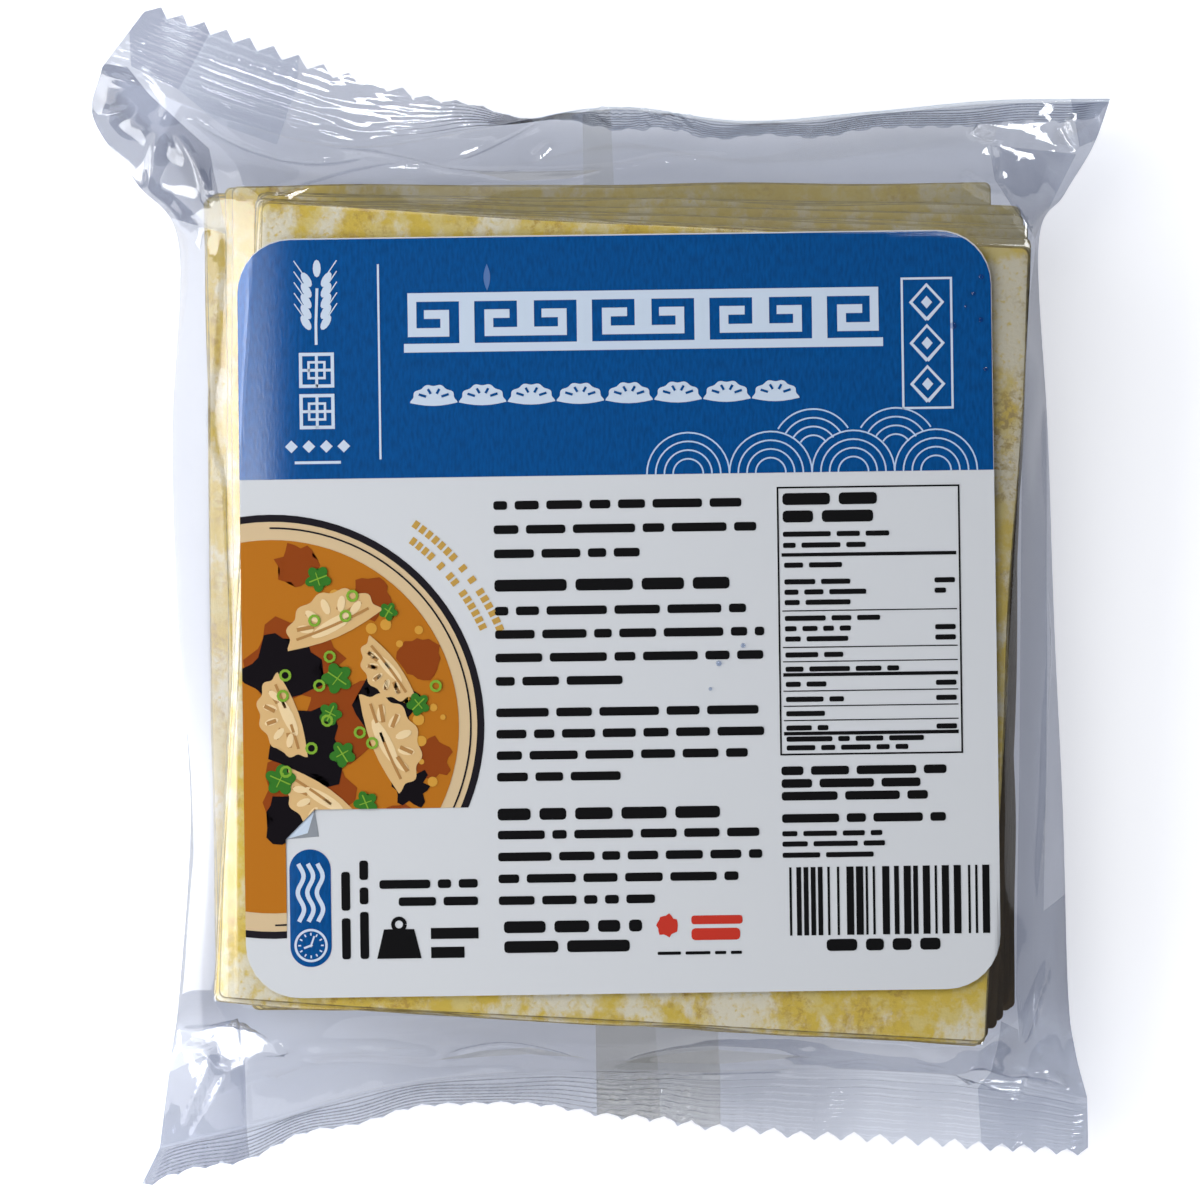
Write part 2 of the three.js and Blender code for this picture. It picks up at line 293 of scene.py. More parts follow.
LEFT_FOLD = [
    (-63.2, 67.4, 13), (-64.4, 61, 12), (-59, 52.8, 10.5), (-53.7, 45, 9.5), (-54.5, 21, 9.5),
    (-53.8, -3, 9.5), (-52.2, -27, 9), (-53.6, -50, 9), (-54.8, -59, 8.5), (-56.2, -70.2, 8),
]
RIGHT_FOLD = [
    (65, 63.6, 10), (62.8, 57.5, 10), (59.1, 51.3, 9.5), (55.9, 45, 9.5), (57.1, 21, 9),
    (57.9, -3, 9), (59, -27, 9), (59.7, -50, 8.5), (60.6, -57.5, 8.5), (62.2, -63.8, 8),
]
FAR_STACK_STEP = 3
NEAR_STACK_STEP = 7
FLANK_ROUND = 1.15
FLANK_FALL = 0.9
END_ROUND = 1.2
END_FALL = 1.3
LEFT_MARGIN = -45.3  # left of this the sheets' margins sag, and the film with them
MARGIN_SAG = 1.0
SAG_REACH = 3.2
SAG_BEND = 1.6
CORNER_PULL = 1.5
FLAT_BESIDE = 0.6
FLAT_PAST = 0.55
RISE = 1.6
print("seal lines of", len(FAR_EDGE), "points and side folds of", len(LEFT_FOLD))

# %% [markdown]
# Bezier objects could draw these lines, but then no array could ask them for all its places at
# once. A Catmull-Rom curve through the named points is a little arithmetic and gives the whole
# grid. Over the stack the film is a flat top. From there it falls in a rounded slope to the fold
# beside it or to the root of a seal.


# %% Curves that place the film
def through(points, t):
    """A smooth curve through evenly spaced points. t is an array from 0 to 1."""
    p = np.array(points, float)
    p = np.vstack([2 * p[:1] - p[1:2], p, 2 * p[-1:] - p[-2:-1]])
    place = np.clip(t, 0, 1) * (len(points) - 1)
    i = np.minimum(place.astype(int), len(points) - 2)
    f = (place - i)[..., None]
    a, b, c, d = (p[i + k] for k in range(4))
    return b + 0.5 * f * (c - a + f * (2 * a - 5 * b + 4 * c - d + f * (3 * b - a - 3 * c + d)))


def stack_corner(side, end):
    """A corner of the stack's top: side -1 is left and end -1 is near"""
    x, y = side * STACK_WIDE / 2, end * STACK_LONG / 2
    turn_x, turn_y = math.cos(STACK_TURN), math.sin(STACK_TURN)
    return np.array([turn_x * x - turn_y * y + STACK_CENTRE[0],
                     turn_y * x + turn_x * y + STACK_CENTRE[1], STACK_TOP])


def beside_stack(share):
    """How far out beside the stack: 0 over it and 1 at the fold"""
    left = 1 - share / LEFT_SHARE
    right = (share - RIGHT_SHARE) / (1 - RIGHT_SHARE)
    return np.clip(np.maximum(left, right), 0, 1)


def fold_at(share, step):
    last = len(LEFT_FOLD) - 1
    left, right = through(LEFT_FOLD, step / last), through(RIGHT_FOLD, step / last)
    return np.where((share < 0.5)[..., None], left, right)


def margin_sag(px):
    """How far the sheets' left margin sags under the film's pull"""
    return MARGIN_SAG * np.clip((LEFT_MARGIN - px) / SAG_REACH, 0, 1) ** SAG_BEND


def film_beside(share, along):
    """The upper film from the stack's near edge, along 0, to its far edge, along 1"""
    t = along[..., None]
    left = mix(stack_corner(-1, -1), stack_corner(-1, 1), t)
    right = mix(stack_corner(1, -1), stack_corner(1, 1), t)
    across = np.clip((share - LEFT_SHARE) / (RIGHT_SHARE - LEFT_SHARE), 0, 1)[..., None]
    top = mix(left, right, across)
    top[..., 2] -= margin_sag(top[..., 0])
    fold = fold_at(share, mix(NEAR_STACK_STEP, FAR_STACK_STEP, along))
    out = beside_stack(share)
    point = mix(top, fold, out[..., None])
    point[..., 2] = mix(fold[..., 2], top[..., 2], (1 - out ** FLANK_ROUND) ** FLANK_FALL)
    return point


def film_past(share, out, far):
    """The upper film past an end of the stack: out 0 at the stack and 1 at the seal's root"""
    inner = film_beside(share, np.full_like(share, 1.0 if far else 0.0))
    root = through(FAR_ROOT if far else NEAR_ROOT, share)
    point = mix(inner, root, out[..., None])
    point[..., 2] = mix(root[..., 2], inner[..., 2], (1 - out ** END_ROUND) ** END_FALL)
    at_stack = np.full_like(share, FAR_STACK_STEP if far else NEAR_STACK_STEP)
    at_seal = np.full_like(share, 0 if far else len(LEFT_FOLD) - 1)
    straight = mix(fold_at(share, at_stack), fold_at(share, at_seal), out[..., None])
    curved = fold_at(share, mix(at_stack, at_seal, out))
    pull = beside_stack(share)[..., None] ** CORNER_PULL
    point[..., :2] += ((curved - straight) * pull)[..., :2]
    return point


def seal_middle(share, out, far):
    """The middle of a welded seal: out 0 at its root and 1 at its serrated edge"""
    root = through(FAR_ROOT if far else NEAR_ROOT, share)
    return mix(root, through(FAR_EDGE if far else NEAR_EDGE, share), out[..., None])


# %% [markdown]
# The film's grid has four columns for each slope of a seal tooth. Its rows lie close together
# in the seals, where the crimp ridges are about a millimetre apart.

# %% The film's grid
COLUMNS = TEETH * 2 * 4 + 1
FIN_ROWS = 64
PAST_ROWS = 44
BESIDE_ROWS = 90
shares = np.linspace(0, 1, COLUMNS)
fin_reach = 1 - TOOTH_DEEP / FIN_LONG * np.abs((shares * TEETH) % 1 * 2 - 1)

fin_out = np.linspace(1, 0, FIN_ROWS)
past_out = np.linspace(1, 0, PAST_ROWS + 2)[1:-1]
beside_along = np.linspace(0, 1, BESIDE_ROWS)


def spread(rows):
    """Grids of share and row value"""
    return np.meshgrid(shares, rows)


def upper_film():
    fin_share, out = spread(fin_out)
    near_fin = seal_middle(fin_share, out * fin_reach, False)
    far_fin = seal_middle(fin_share, out * fin_reach, True)[::-1]
    past_share, past = spread(past_out)
    near_past = film_past(past_share, past, False)
    far_past = film_past(past_share, past, True)[::-1]
    beside = film_beside(*spread(beside_along))
    return np.concatenate([near_fin, near_past, beside, far_past, far_fin])


upper = upper_film()
ROWS = len(upper)
SHARE, ROW = np.meshgrid(shares, np.arange(ROWS))
NEAR_ROOT_ROW = FIN_ROWS - 1
FAR_ROOT_ROW = ROWS - FIN_ROWS
NEAR_STACK_ROW = NEAR_ROOT_ROW + PAST_ROWS + 1
FAR_STACK_ROW = FAR_ROOT_ROW - PAST_ROWS - 1
print("film grid", ROWS, "by", COLUMNS)

# %% [markdown]
# The lower film lies flat on the table under the stack and curves up to meet the upper film at
# the two folds and at the seals.


# %% Lower film
def past_stack(row):
    """0 beside the stack, rising to 1 at the root of either seal"""
    near = (NEAR_STACK_ROW - row) / (NEAR_STACK_ROW - NEAR_ROOT_ROW)
    far = (row - FAR_STACK_ROW) / (FAR_ROOT_ROW - FAR_STACK_ROW)
    return np.clip(np.maximum(near, far), 0, 1)


def lower_film(top):
    lower = top.copy()
    fold_z = np.where(SHARE < 0.5, top[:, :1, 2], top[:, -1:, 2])
    root_z = np.where(ROW < ROWS / 2, top[NEAR_ROOT_ROW, :, 2], top[FAR_ROOT_ROW, :, 2])
    beside = np.clip((beside_stack(SHARE) - FLAT_BESIDE) / (1 - FLAT_BESIDE), 0, 1)
    past = np.clip((past_stack(ROW) - FLAT_PAST) / (1 - FLAT_PAST), 0, 1)
    height = mix(fold_z * beside ** RISE, root_z, past ** RISE)
    body = (ROW > NEAR_ROOT_ROW) & (ROW < FAR_ROOT_ROW)
    lower[..., 2] = np.where(body, np.minimum(height + FILM_FLOOR, top[..., 2]), top[..., 2])
    return lower


FILM_FLOOR = 0.12
lower = lower_film(upper)
print("lower film rises to", lower[..., 2].max().round(1), "mm")

# %% [markdown]
# ## Creases
# Film doesn't stretch, so every place where the flat tube turns round the stack folds it. Long
# soft folds run from the stack's corners to the seals, and small crumples fill the corners.
# A fold is a line in plan with a width and a height. Its cross-section is a sharp ridge, a round
# one or a step, and it fades out towards its ends.


# %% Fold lines
def fold_profile(kind, d):
    """Height of a fold's cross-section at a distance d, in widths, to its left or right"""
    if kind == "sharp":
        return np.exp(-np.abs(d) * 1.6)
    if kind == "step":
        return np.tanh(d * 1.5) * np.exp(-(d / 3) ** 2)
    return np.exp(-d * d)


def add_fold(height, x, y, line, width, rise, kind="sharp"):
    """Adds one fold to a height map over the points x, y"""
    points = through([(px, py, 0) for px, py in line], np.linspace(0, 1, 4 * len(line)))[:, :2]
    near = ((x > points[:, 0].min() - 4 * width) & (x < points[:, 0].max() + 4 * width)
            & (y > points[:, 1].min() - 4 * width) & (y < points[:, 1].max() + 4 * width))
    px, py = x[near], y[near]
    best = np.full(px.shape, 1e9)
    signed = np.zeros(px.shape)
    along = np.zeros(px.shape)
    steps = len(points) - 1
    for i in range(steps):
        ax, ay = points[i]
        dx, dy = points[i + 1] - points[i]
        t = np.clip(((px - ax) * dx + (py - ay) * dy) / (dx * dx + dy * dy), 0, 1)
        ox, oy = px - ax - t * dx, py - ay - t * dy
        distance = np.hypot(ox, oy)
        closer = distance < best
        best = np.where(closer, distance, best)
        signed = np.where(closer, np.copysign(distance, dx * oy - dy * ox), signed)
        along = np.where(closer, (i + t) / steps, along)
    fade = smooth_step(np.minimum(along, 1 - along) * 5)
    height[near] += rise * fade * fold_profile(kind, signed / width)


FOLDS = [
    # line, width, height, and its cross-section if that isn't sharp; the far end, from the left
    ([(-64, 67), (-61.5, 66), (-58.5, 65)], 0.5, 0.5),
    ([(-64, 61), (-61.5, 61.5), (-59.5, 62)], 0.5, 0.5),
    ([(-58.5, 67), (-57, 65.5), (-55.5, 63), (-56, 60.5)], 0.5, 0.4, "step"),
    ([(-56, 60), (-56.5, 55.5), (-57.5, 52), (-57, 49.5)], 0.8, 0.5, "round"),
    ([(-54.5, 59.5), (-51.5, 56), (-50, 52), (-49.5, 49.5)], 0.6, 0.6),
    ([(-53.5, 62), (-45.5, 57.5), (-37, 55.5), (-28, 56)], 0.5, -0.6),
    ([(-53.5, 45.5), (-50, 45), (-48.5, 44.5)], 0.5, 0.5),
    ([(-43.5, 48.5), (-39, 51), (-32.5, 53), (-26, 54.5), (-20.5, 55)], 0.9, 0.5),
    ([(-37, 57.5), (-28, 56), (-16.5, 54), (-2.5, 54), (9.5, 55.5), (20.5, 56)], 0.5, 0.45),
    ([(-16.5, 53.2), (-10.5, 52.7), (-5, 52.8), (0, 53.7)], 0.6, -0.3, "round"),
    ([(-20, 55.5), (-16, 57), (-12.5, 58.5), (-8.5, 60.5), (-5.5, 61.5)], 0.5, -0.4),
    ([(-18, 55.2), (-13.5, 57.2), (-10.5, 58.7), (-5.5, 61.2)], 0.4, 0.3),
    ([(-6, 58), (-8.5, 55.5)], 0.7, 0.5, "round"),
    ([(45.5, 54), (48, 52), (52, 50)], 0.9, 0.5, "round"),
    ([(49.5, 57.5), (50.5, 56), (50, 53)], 0.5, 0.4, "step"),
    ([(49.5, 58), (55.5, 57.5), (61, 57)], 0.5, 0.7),
    ([(59, 61.5), (60, 59), (61, 57)], 0.5, 0.6, "step"),
    ([(50, 53), (52, 49.5), (55, 45)], 0.5, 0.7),
    # the right side
    ([(57, 5), (56.5, -16.5), (55.5, -40)], 0.4, 0.5),
    ([(57, -46), (55, -51.5), (53.5, -57)], 0.4, 0.6),
    # the near end, from the left
    ([(-45, -58.5), (-45, -63), (-45, -68)], 0.4, 0.4),
    ([(-49.5, -59), (-53.5, -68)], 0.6, 0.35),
    ([(-47, -60), (-52.5, -69.5)], 0.6, 0.3),
    ([(-39, -57.8), (-30, -57.6), (-19, -58.5)], 0.8, 0.4, "round"),
    ([(-21, -58.5), (-11, -57), (-1.5, -58.5)], 0.5, -0.6),
    ([(2, -58.8), (14, -57.4), (27, -58.4)], 0.5, -0.6),
    ([(-1.5, -59.2), (12.5, -60), (27, -59.6)], 0.6, 0.5, "round"),
    ([(22, -58), (34, -57), (46, -58)], 1.2, 0.5, "round"),
    ([(38, -56), (44, -58.5), (49, -63)], 0.8, 0.5, "round"),
    ([(54, -60.6), (57, -61), (60.5, -62.5)], 0.6, 0.6),
]

creases = np.zeros((ROWS, COLUMNS))
for fold in FOLDS:
    add_fold(creases, upper[..., 0], upper[..., 1], *fold)
print(len(FOLDS), "folds drawn by hand")

# %% [markdown]
# Three patches of film are pulled flat and tilted towards a light, so each mirrors it as one
# crisp white shape. Inside its outline the film is pushed on to a tilted plane.


# %% Flat patches
def depth_inside(x, y, outline):
    """Distance inside an outline, 0 at its edge and outside it"""
    inside = np.zeros(x.shape, bool)
    nearest = np.full(x.shape, 1e9)
    for (ax, ay), (bx, by) in zip(outline, outline[1:] + outline[:1]):
        t = np.clip(((x - ax) * (bx - ax) + (y - ay) * (by - ay))
                    / ((bx - ax) ** 2 + (by - ay) ** 2), 0, 1)
        nearest = np.minimum(nearest, np.hypot(x - ax - t * (bx - ax), y - ay - t * (by - ay)))
        if ay != by:
            crosses = ((ay > y) != (by > y)) & (x < (bx - ax) * (y - ay) / (by - ay) + ax)
            inside ^= crosses
    return np.where(inside, nearest, 0)


PATCHES = [
    # outline, the way it faces, its tilt in degrees, the width of its bent rim, its pivot
    ([(-54.5, -54.5), (-47.5, -54.2), (-43, -55), (-40.5, -56), (-39, -57.5), (-44, -58.5),
      (-47, -60), (-49, -59.5), (-50, -58), (-53.5, -57)], 190, 33, 0.7, 2.5),
    ([(46.5, 59), (48, 60), (54, 61), (58.5, 61.3), (60.3, 58.2), (57.5, 57.2), (53, 58), (50, 58)],
     45, 26, 0.7, 2.5),
    ([(44.3, -59.8), (49.2, -60.1), (52.6, -61.2), (54.6, -61.1), (53.8, -64.8), (50.9, -63.1),
      (48.2, -61.8)], 305, 21, 0.3, 0.0),
]
for outline, way, tilt, rim, pivot in PATCHES:
    depth = depth_inside(upper[..., 0], upper[..., 1], outline)
    held = depth > 0
    middle = upper[held].mean(axis=0) + (pivot, 0, 0)
    print("patch at", middle.round(1), "of", held.sum(), "points")
    fall = math.tan(math.radians(tilt))
    slope_x, slope_y = -fall * math.cos(math.radians(way)), -fall * math.sin(math.radians(way))
    plane = (middle[2] + slope_x * (upper[..., 0] - middle[0])
             + slope_y * (upper[..., 1] - middle[1]))
    creases += smooth_step(depth / rim) * (plane - upper[..., 2]) * math.cos(math.radians(tilt))

# %% [markdown]
# The small crumples come from random flat facets: the sum of a few folded waves in random
# directions, each bent by a slow wobble. Film that is pulled tight crumples less. A cloth
# simulation could make such crumples too, but it would have to run before each render, and it
# wouldn't put the large folds where they are on this pack.


# %% Small crumples
def slow_wobble(x, y, pitch, seed):
    """A smooth random field from a few sine waves, about -1 to 1"""
    draw = np.random.default_rng(seed)
    field = np.zeros_like(x)
    for _ in range(6):
        angle = draw.uniform(0, 2 * math.pi)
        size = pitch * draw.uniform(0.6, 1.6)
        phase = draw.uniform(0, 2 * math.pi)
        field += np.sin((x * math.cos(angle) + y * math.sin(angle)) * 2 * math.pi / size + phase)
    return field / 2.5


def facets(x, y, pitch, seed):
    """Crumpled film: folded waves with sharp ridges, about -1 to 1"""
    draw = np.random.default_rng(seed)
    field = np.zeros_like(x)
    for i in range(FACET_WAVES):
        angle = draw.uniform(0, 2 * math.pi)
        size = pitch * draw.uniform(0.7, 1.5)
        bend = slow_wobble(x, y, pitch * 4, seed + 20 + i) * 0.35
        phase = (x * math.cos(angle) + y * math.sin(angle)) / size + bend + draw.uniform(0, 1)
        field += np.abs((phase % 1) * 2 - 1) - 0.5
    return field / FACET_WAVES * 2


FACET_WAVES = 5
beside = beside_stack(SHARE)
past = past_stack(ROW)
off_stack = smooth_step(np.maximum(beside * 1.5, past * 3) - 0.15)
in_corner = smooth_step((beside - 0.1) * 2) * smooth_step((past - 0.1) * 2)
x, y = upper[..., 0], upper[..., 1]
CRUMPLES = ((9, 3, 0.08, 0.3), (3.6, 4, 0.02, 0.10))  # pitch, seed, height, more in a corner
BILLOW = 0.35
crumple = slow_wobble(x, y, 26, 5) * BILLOW * off_stack
for pitch, seed, high, higher in CRUMPLES:
    crumple += facets(x, y, pitch, seed) * (high + higher * in_corner) * off_stack
LEFT_CALM = 0.75  # the left side is pulled tight, so it crumples this much less
tight = smooth_step(beside * 4) * (1 - smooth_step(past * 3)) * (SHARE < 0.5)
crumple *= 1 - LEFT_CALM * tight
FAR_LEFT_CALM = 0.65  # and so does the corner that is folded over
folded_over = in_corner * (SHARE < 0.5) * (ROW > ROWS / 2)
crumple *= 1 - FAR_LEFT_CALM * folded_over
print("crumples up to", np.abs(crumple).max().round(2), "mm")

# %% [markdown]
# Each seal is pressed between toothed jaws, which leaves straight grooves along it. Over a part
# of the far seal the grooves are pulled out to a few broad ribs, which shine as long streaks.
# Where the back seam runs into a seal, more plies are welded together, and they crinkle.

# %% Crimp the seals
in_fin = (ROW <= NEAR_ROOT_ROW) | (ROW >= FAR_ROOT_ROW)
past_root = np.where(ROW <= NEAR_ROOT_ROW, NEAR_ROOT_ROW - ROW, ROW - FAR_ROOT_ROW)
fin_place = past_root / (FIN_ROWS - 1)
GROOVE_DEEP = 0.28
GROOVE_WIDE = 0.18  # as a share of the way from one groove to the next
groove = np.exp(-(((fin_place * fin_reach * RIDGES) % 1 - 0.5) / GROOVE_WIDE) ** 2)
BROAD_PLACE = (0.2, 0.34)  # shares of the far seal between which its ribs are pulled broad
BROAD_RIBS = 4.5
BROAD_DEEP = 0.13
broad = smooth_step((SHARE - BROAD_PLACE[0]) * 30) * smooth_step((BROAD_PLACE[1] - SHARE) * 12)
broad *= ROW > ROWS / 2
crimp = -groove * GROOVE_DEEP * (1 - 0.8 * broad) * smooth_step(fin_place * 6)
RIB_WANDER = 0.6  # how far the ribs stray, as a share of the way from one to the next
wander = slow_wobble(x, y, 20, 12) * RIB_WANDER
broad_rib = np.cos(2 * math.pi * (fin_place * fin_reach * BROAD_RIBS + wander))
crimp += broad_rib * BROAD_DEEP * broad * smooth_step(fin_place * 4)
SEAL_WAVE = 0.35
crimp += slow_wobble(x, y, 14, 8) * SEAL_WAVE * smooth_step(fin_place * 3)
SEAM_X = 6
SEAM_REACH = 8
CRINKLE_DEEP = 0.3
at_seam = smooth_step((SEAM_REACH - np.abs(x - SEAM_X)) / 2)
crimp += facets(x, y, 1.3, 31) * CRINKLE_DEEP * at_seam
crimp = np.where(in_fin, crimp, 0)
print("seals crimped by", crimp.min().round(2), "to", crimp.max().round(2), "mm")

# %% [markdown]
# Each point of the film now moves along the film's own normal, by all of these together. They
# fade out at the two side folds, where the plies meet. No fold rises past the stack's top, and
# in the seals the lower ply follows just under the upper one.


# %% Push the film in and out
def grid_normals(points):
    down = np.gradient(points, axis=0)
    across = np.gradient(points, axis=1)
    normal = np.cross(across, down)
    return normal / np.maximum(np.linalg.norm(normal, axis=2, keepdims=True), 1e-9)


at_edges = smooth_step(np.minimum(SHARE, 1 - SHARE) * 40)
at_root = np.where(in_fin, 0, smooth_step((1 - past) * 8))

normals = grid_normals(upper)
PLY_GAP = 0.05
LOWEST_FILM = 0.1
push = (crumple * at_root + creases + crimp) * at_edges
film_top = upper + normals * push[..., None]
film_top[..., 2] = np.minimum(film_top[..., 2], STACK_TOP)
film_under = lower.copy()
film_under[in_fin] = film_top[in_fin] - normals[in_fin] * PLY_GAP
film_top[..., 2] = np.maximum(film_top[..., 2], LOWEST_FILM)
film_under[..., 2] = np.clip(film_under[..., 2], PLY_GAP, film_top[..., 2] - PLY_GAP)
print("film pushed by", push.min().round(2), "to", push.max().round(2), "mm")

# %% [markdown]
# ## The film's finish
# Flow-wrap bags are biaxially oriented polypropylene, about 0.04 mm thick. It is clear and very
# glossy, with an index of refraction of 1.5. Such thin film doesn't bend what is behind it, so
# glass with refraction would be wrong and slow. A see-through shader with a faint grey tint,
# mixed with a mirror by Fresnel's law, gives the eye the same: clear face on, shiny at a slant.
# Light crosses more plastic where the film stands steep, so its tint grows with the slope. The
# lower film's darker grey tint is painted shade, for the shade on the table under the pack, and in
# its two near corners a lighter tint is painted light.
# Where film lies on film the two faces mirror less, which a lower index stands for.


# %% Film material
def film_material(name, face_on, slanted, index, most, painted_light_tint=None):
    """See-through film: its tint face on and at a slant, and the most that it mirrors

    painted_light_tint is a lighter tint that it has in the two near corners: painted light."""
    material, tree = new_material(name)
    coords = add_node(tree, "ShaderNodeTexCoord")
    haze = add_node(tree, "ShaderNodeTexNoise", inputs={
        "Vector": coords.outputs["Object"], "Scale": 1 / (RIPPLE_PITCH * MM), "Detail": 3.0})
    ripple = add_node(tree, "ShaderNodeBump", inputs={
        "Height": haze, "Strength": 0.05, "Distance": RIPPLE_DEEP * MM})
    lie = add_node(tree, "ShaderNodeNewGeometry")
    parts = add_node(tree, "ShaderNodeSeparateXYZ", inputs={0: lie.outputs["Normal"]})
    upright = add_node(tree, "ShaderNodeMath", {"operation": "ABSOLUTE"}, {0: parts.outputs[2]})
    steep = add_node(tree, "ShaderNodeMapRange", SOFT_STEP, {
        "Value": upright, "From Min": 0.9, "From Max": 0.25})
    tint = add_node(tree, "ShaderNodeMix", COLOURS, {
        0: steep, 6: linear(face_on), 7: linear(slanted)})
    # A lighter tint in the two near corners is painted light.
    if painted_light_tint:
        place = add_node(tree, "ShaderNodeSeparateXYZ", inputs={0: coords.outputs["Object"]})
        leftward, rightward, nearer = [
            add_node(tree, "ShaderNodeMapRange", SOFT_STEP, {
                "Value": place.outputs[axis], "From Min": start * MM, "From Max": end * MM})
            for axis, start, end in PAINTED_LIGHT_FROM_TO]
        at_side = add_node(tree, "ShaderNodeMath", {"operation": "MAXIMUM"}, {
            0: leftward, 1: rightward})
        in_corner = add_node(tree, "ShaderNodeMath", TIMES, {0: at_side, 1: nearer})
        tint = add_node(tree, "ShaderNodeMix", COLOURS, {0: in_corner, 6: tint, 7: linear(painted_light_tint)})
    clear = add_node(tree, "ShaderNodeBsdfTransparent", inputs={"Color": tint})
    shine = add_node(tree, "ShaderNodeBsdfGlossy", inputs={
        "Color": linear("#ffffff"), "Roughness": 0.06, "Normal": ripple})
    fresnel = add_node(tree, "ShaderNodeFresnel", inputs={"IOR": index, "Normal": ripple})
    share = add_node(tree, "ShaderNodeMath", {"operation": "MINIMUM"}, {0: fresnel, 1: most})
    both = add_node(tree, "ShaderNodeMixShader", inputs={0: share, 1: clear, 2: shine})
    add_node(tree, "ShaderNodeOutputMaterial", inputs={"Surface": both})
    return material


RIPPLE_PITCH = 1 / 0.9  # the faint dimples of stretched film, about a millimetre apart
RIPPLE_DEEP = 0.1
# axis, and the places between which the film turns to its painted light tint: left, right and near
PAINTED_LIGHT_FROM_TO = ((0, -12, -38), (0, 24, 36), (1, -51, -56.5))
film_plastic = film_material(
    "biaxially oriented polypropylene film", "#fafbfc", "#c9ccd4", index=1.5, most=0.3)
# The lower film's grey tint is painted shade for the table under the pack.
under_plastic = film_material(
    "polypropylene film tinted as painted shade", "#bfc2cb", "#c2c5ce", index=1.3, most=0.12,
    painted_light_tint="#d2d5dd")
seal_plastic = film_material(
    "hot-pressed polypropylene seal", "#fafbfc", "#eef0f3", index=1.3, most=0.08)

# %% [markdown]
# The two plies are the grids from above as meshes, the lower one facing down. Both ends of the
# bag could be pieces of their own, but a second material on the same mesh leaves no gap: the far
# seal hangs down past the middle and is seen on edge, so its tint must not grow with the slope.


# %% Make the two plies
def as_bag(piece):
    """Marks a piece of film as part of the bag"""
    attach(piece, "root")
    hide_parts("film_bag")


HANGS_FROM = 0.42  # the share of the far seal from which it hangs down
upper_ply = mesh_piece("film_upper", film_top.reshape(-1, 3), grid_faces(ROWS, COLUMNS),
                       film_plastic)
lower_ply = mesh_piece("film_lower", film_under.reshape(-1, 3),
                       grid_faces(ROWS, COLUMNS, up=False), under_plastic)
hanging = (ROW >= FAR_ROOT_ROW - 1) & (SHARE > HANGS_FROM)
for ply in (upper_ply, lower_ply):
    ply.data.materials.append(seal_plastic)
    ply.data.polygons.foreach_set("material_index", hanging[:-1, :-1].astype(int).ravel())
    as_bag(ply)

# %% [markdown]
# At its corners and along its right side the tube is tucked in, and at the far left the seal is
# folded over. To fold one mesh on itself like that would tangle its grid. So each lap is one more
# ply just under the upper film, cut to its outline, and a grey tint of its own tells the eye how
# many plies lie there. A few pleats near the stack's two ends are made in the same way. Their
# brownish tint is the seam's, and in them it is a painted reflection of the dough in the folded
# film.

# %% One lap
film_quads = grid_faces(ROWS, COLUMNS).tolist()
creased_tree = BVHTree.FromPolygons(film_top.reshape(-1, 3).tolist(), film_quads)
plan_tree = BVHTree.FromPolygons((film_top.reshape(-1, 3) * (1, 1, 0)).tolist(), film_quads)
ABOVE = 40  # higher than anything on the pack
DOWN = Vector((0, 0, -1))
JUST_INSIDE = 0.03


def on_film(px, py, reach):
    """The film's point over a place in plan, or over the film's edge if that is within reach"""
    hit = creased_tree.ray_cast(Vector((px, py, ABOVE)), DOWN)[0]
    if hit:
        return hit
    place = Vector((px, py, 0))
    edge = plan_tree.find_nearest(place, reach)[0]
    if edge is None:
        return None
    inside = edge + (edge - place).normalized() * JUST_INSIDE
    return creased_tree.ray_cast(Vector((inside.x, inside.y, ABOVE)), DOWN)[0]


def lapped_ply(name, outline, gap, material):
    """One more ply that follows the upper film at a gap below it, and ends where it ends"""
    cuts = [np.arange(min(line), max(line), LAP_CUT) for line in zip(*outline)]
    bm = cut_shapes([outline], *cuts)
    for vert in bm.verts[:]:
        hit = on_film(vert.co.x, vert.co.y, 1.5 * LAP_CUT)
        if hit:
            vert.co = Vector((hit.x, hit.y, max(LOWEST_FILM, hit.z - gap))) * MM
        else:
            bm.verts.remove(vert)
    bmesh.ops.dissolve_degenerate(bm, dist=0.02 * MM, edges=bm.edges[:])
    as_bag(bmesh_piece(name, bm, material, smooth=True))


# %% Laps and pleats
LAP_CUT = 0.6
LAP_GAP = 0.2
CLOSE_GAP = 0.03  # the ear and the near laps lie close under the film
PLEAT_GAP = 0.3
LAPPED = {"index": 1.2, "most": 0.06}
WELDED = {"index": 1.2, "most": 0.04}
lap_plastic = film_material("lapped polypropylene film", "#e0e2e7", "#c4c7ce", **LAPPED)
sealed_lap = film_material("lapped polypropylene seal", "#eff1f5", "#e3e6ed", **LAPPED)
folded_plastic = film_material("folded polypropylene film", "#b9bcc5", "#b4b7c1", **LAPPED)
tucked_plastic = film_material("tucked polypropylene film", "#dadce3", "#cfd2da", **LAPPED)
seam_and_painted_reflection_plastic = film_material("welded polypropylene seam and painted dough reflection", "#f2f0ea", "#e9e7e0", **WELDED)
thin_seam = film_material("thin polypropylene seam", "#f8f7f3", "#f2f1ed", **WELDED)
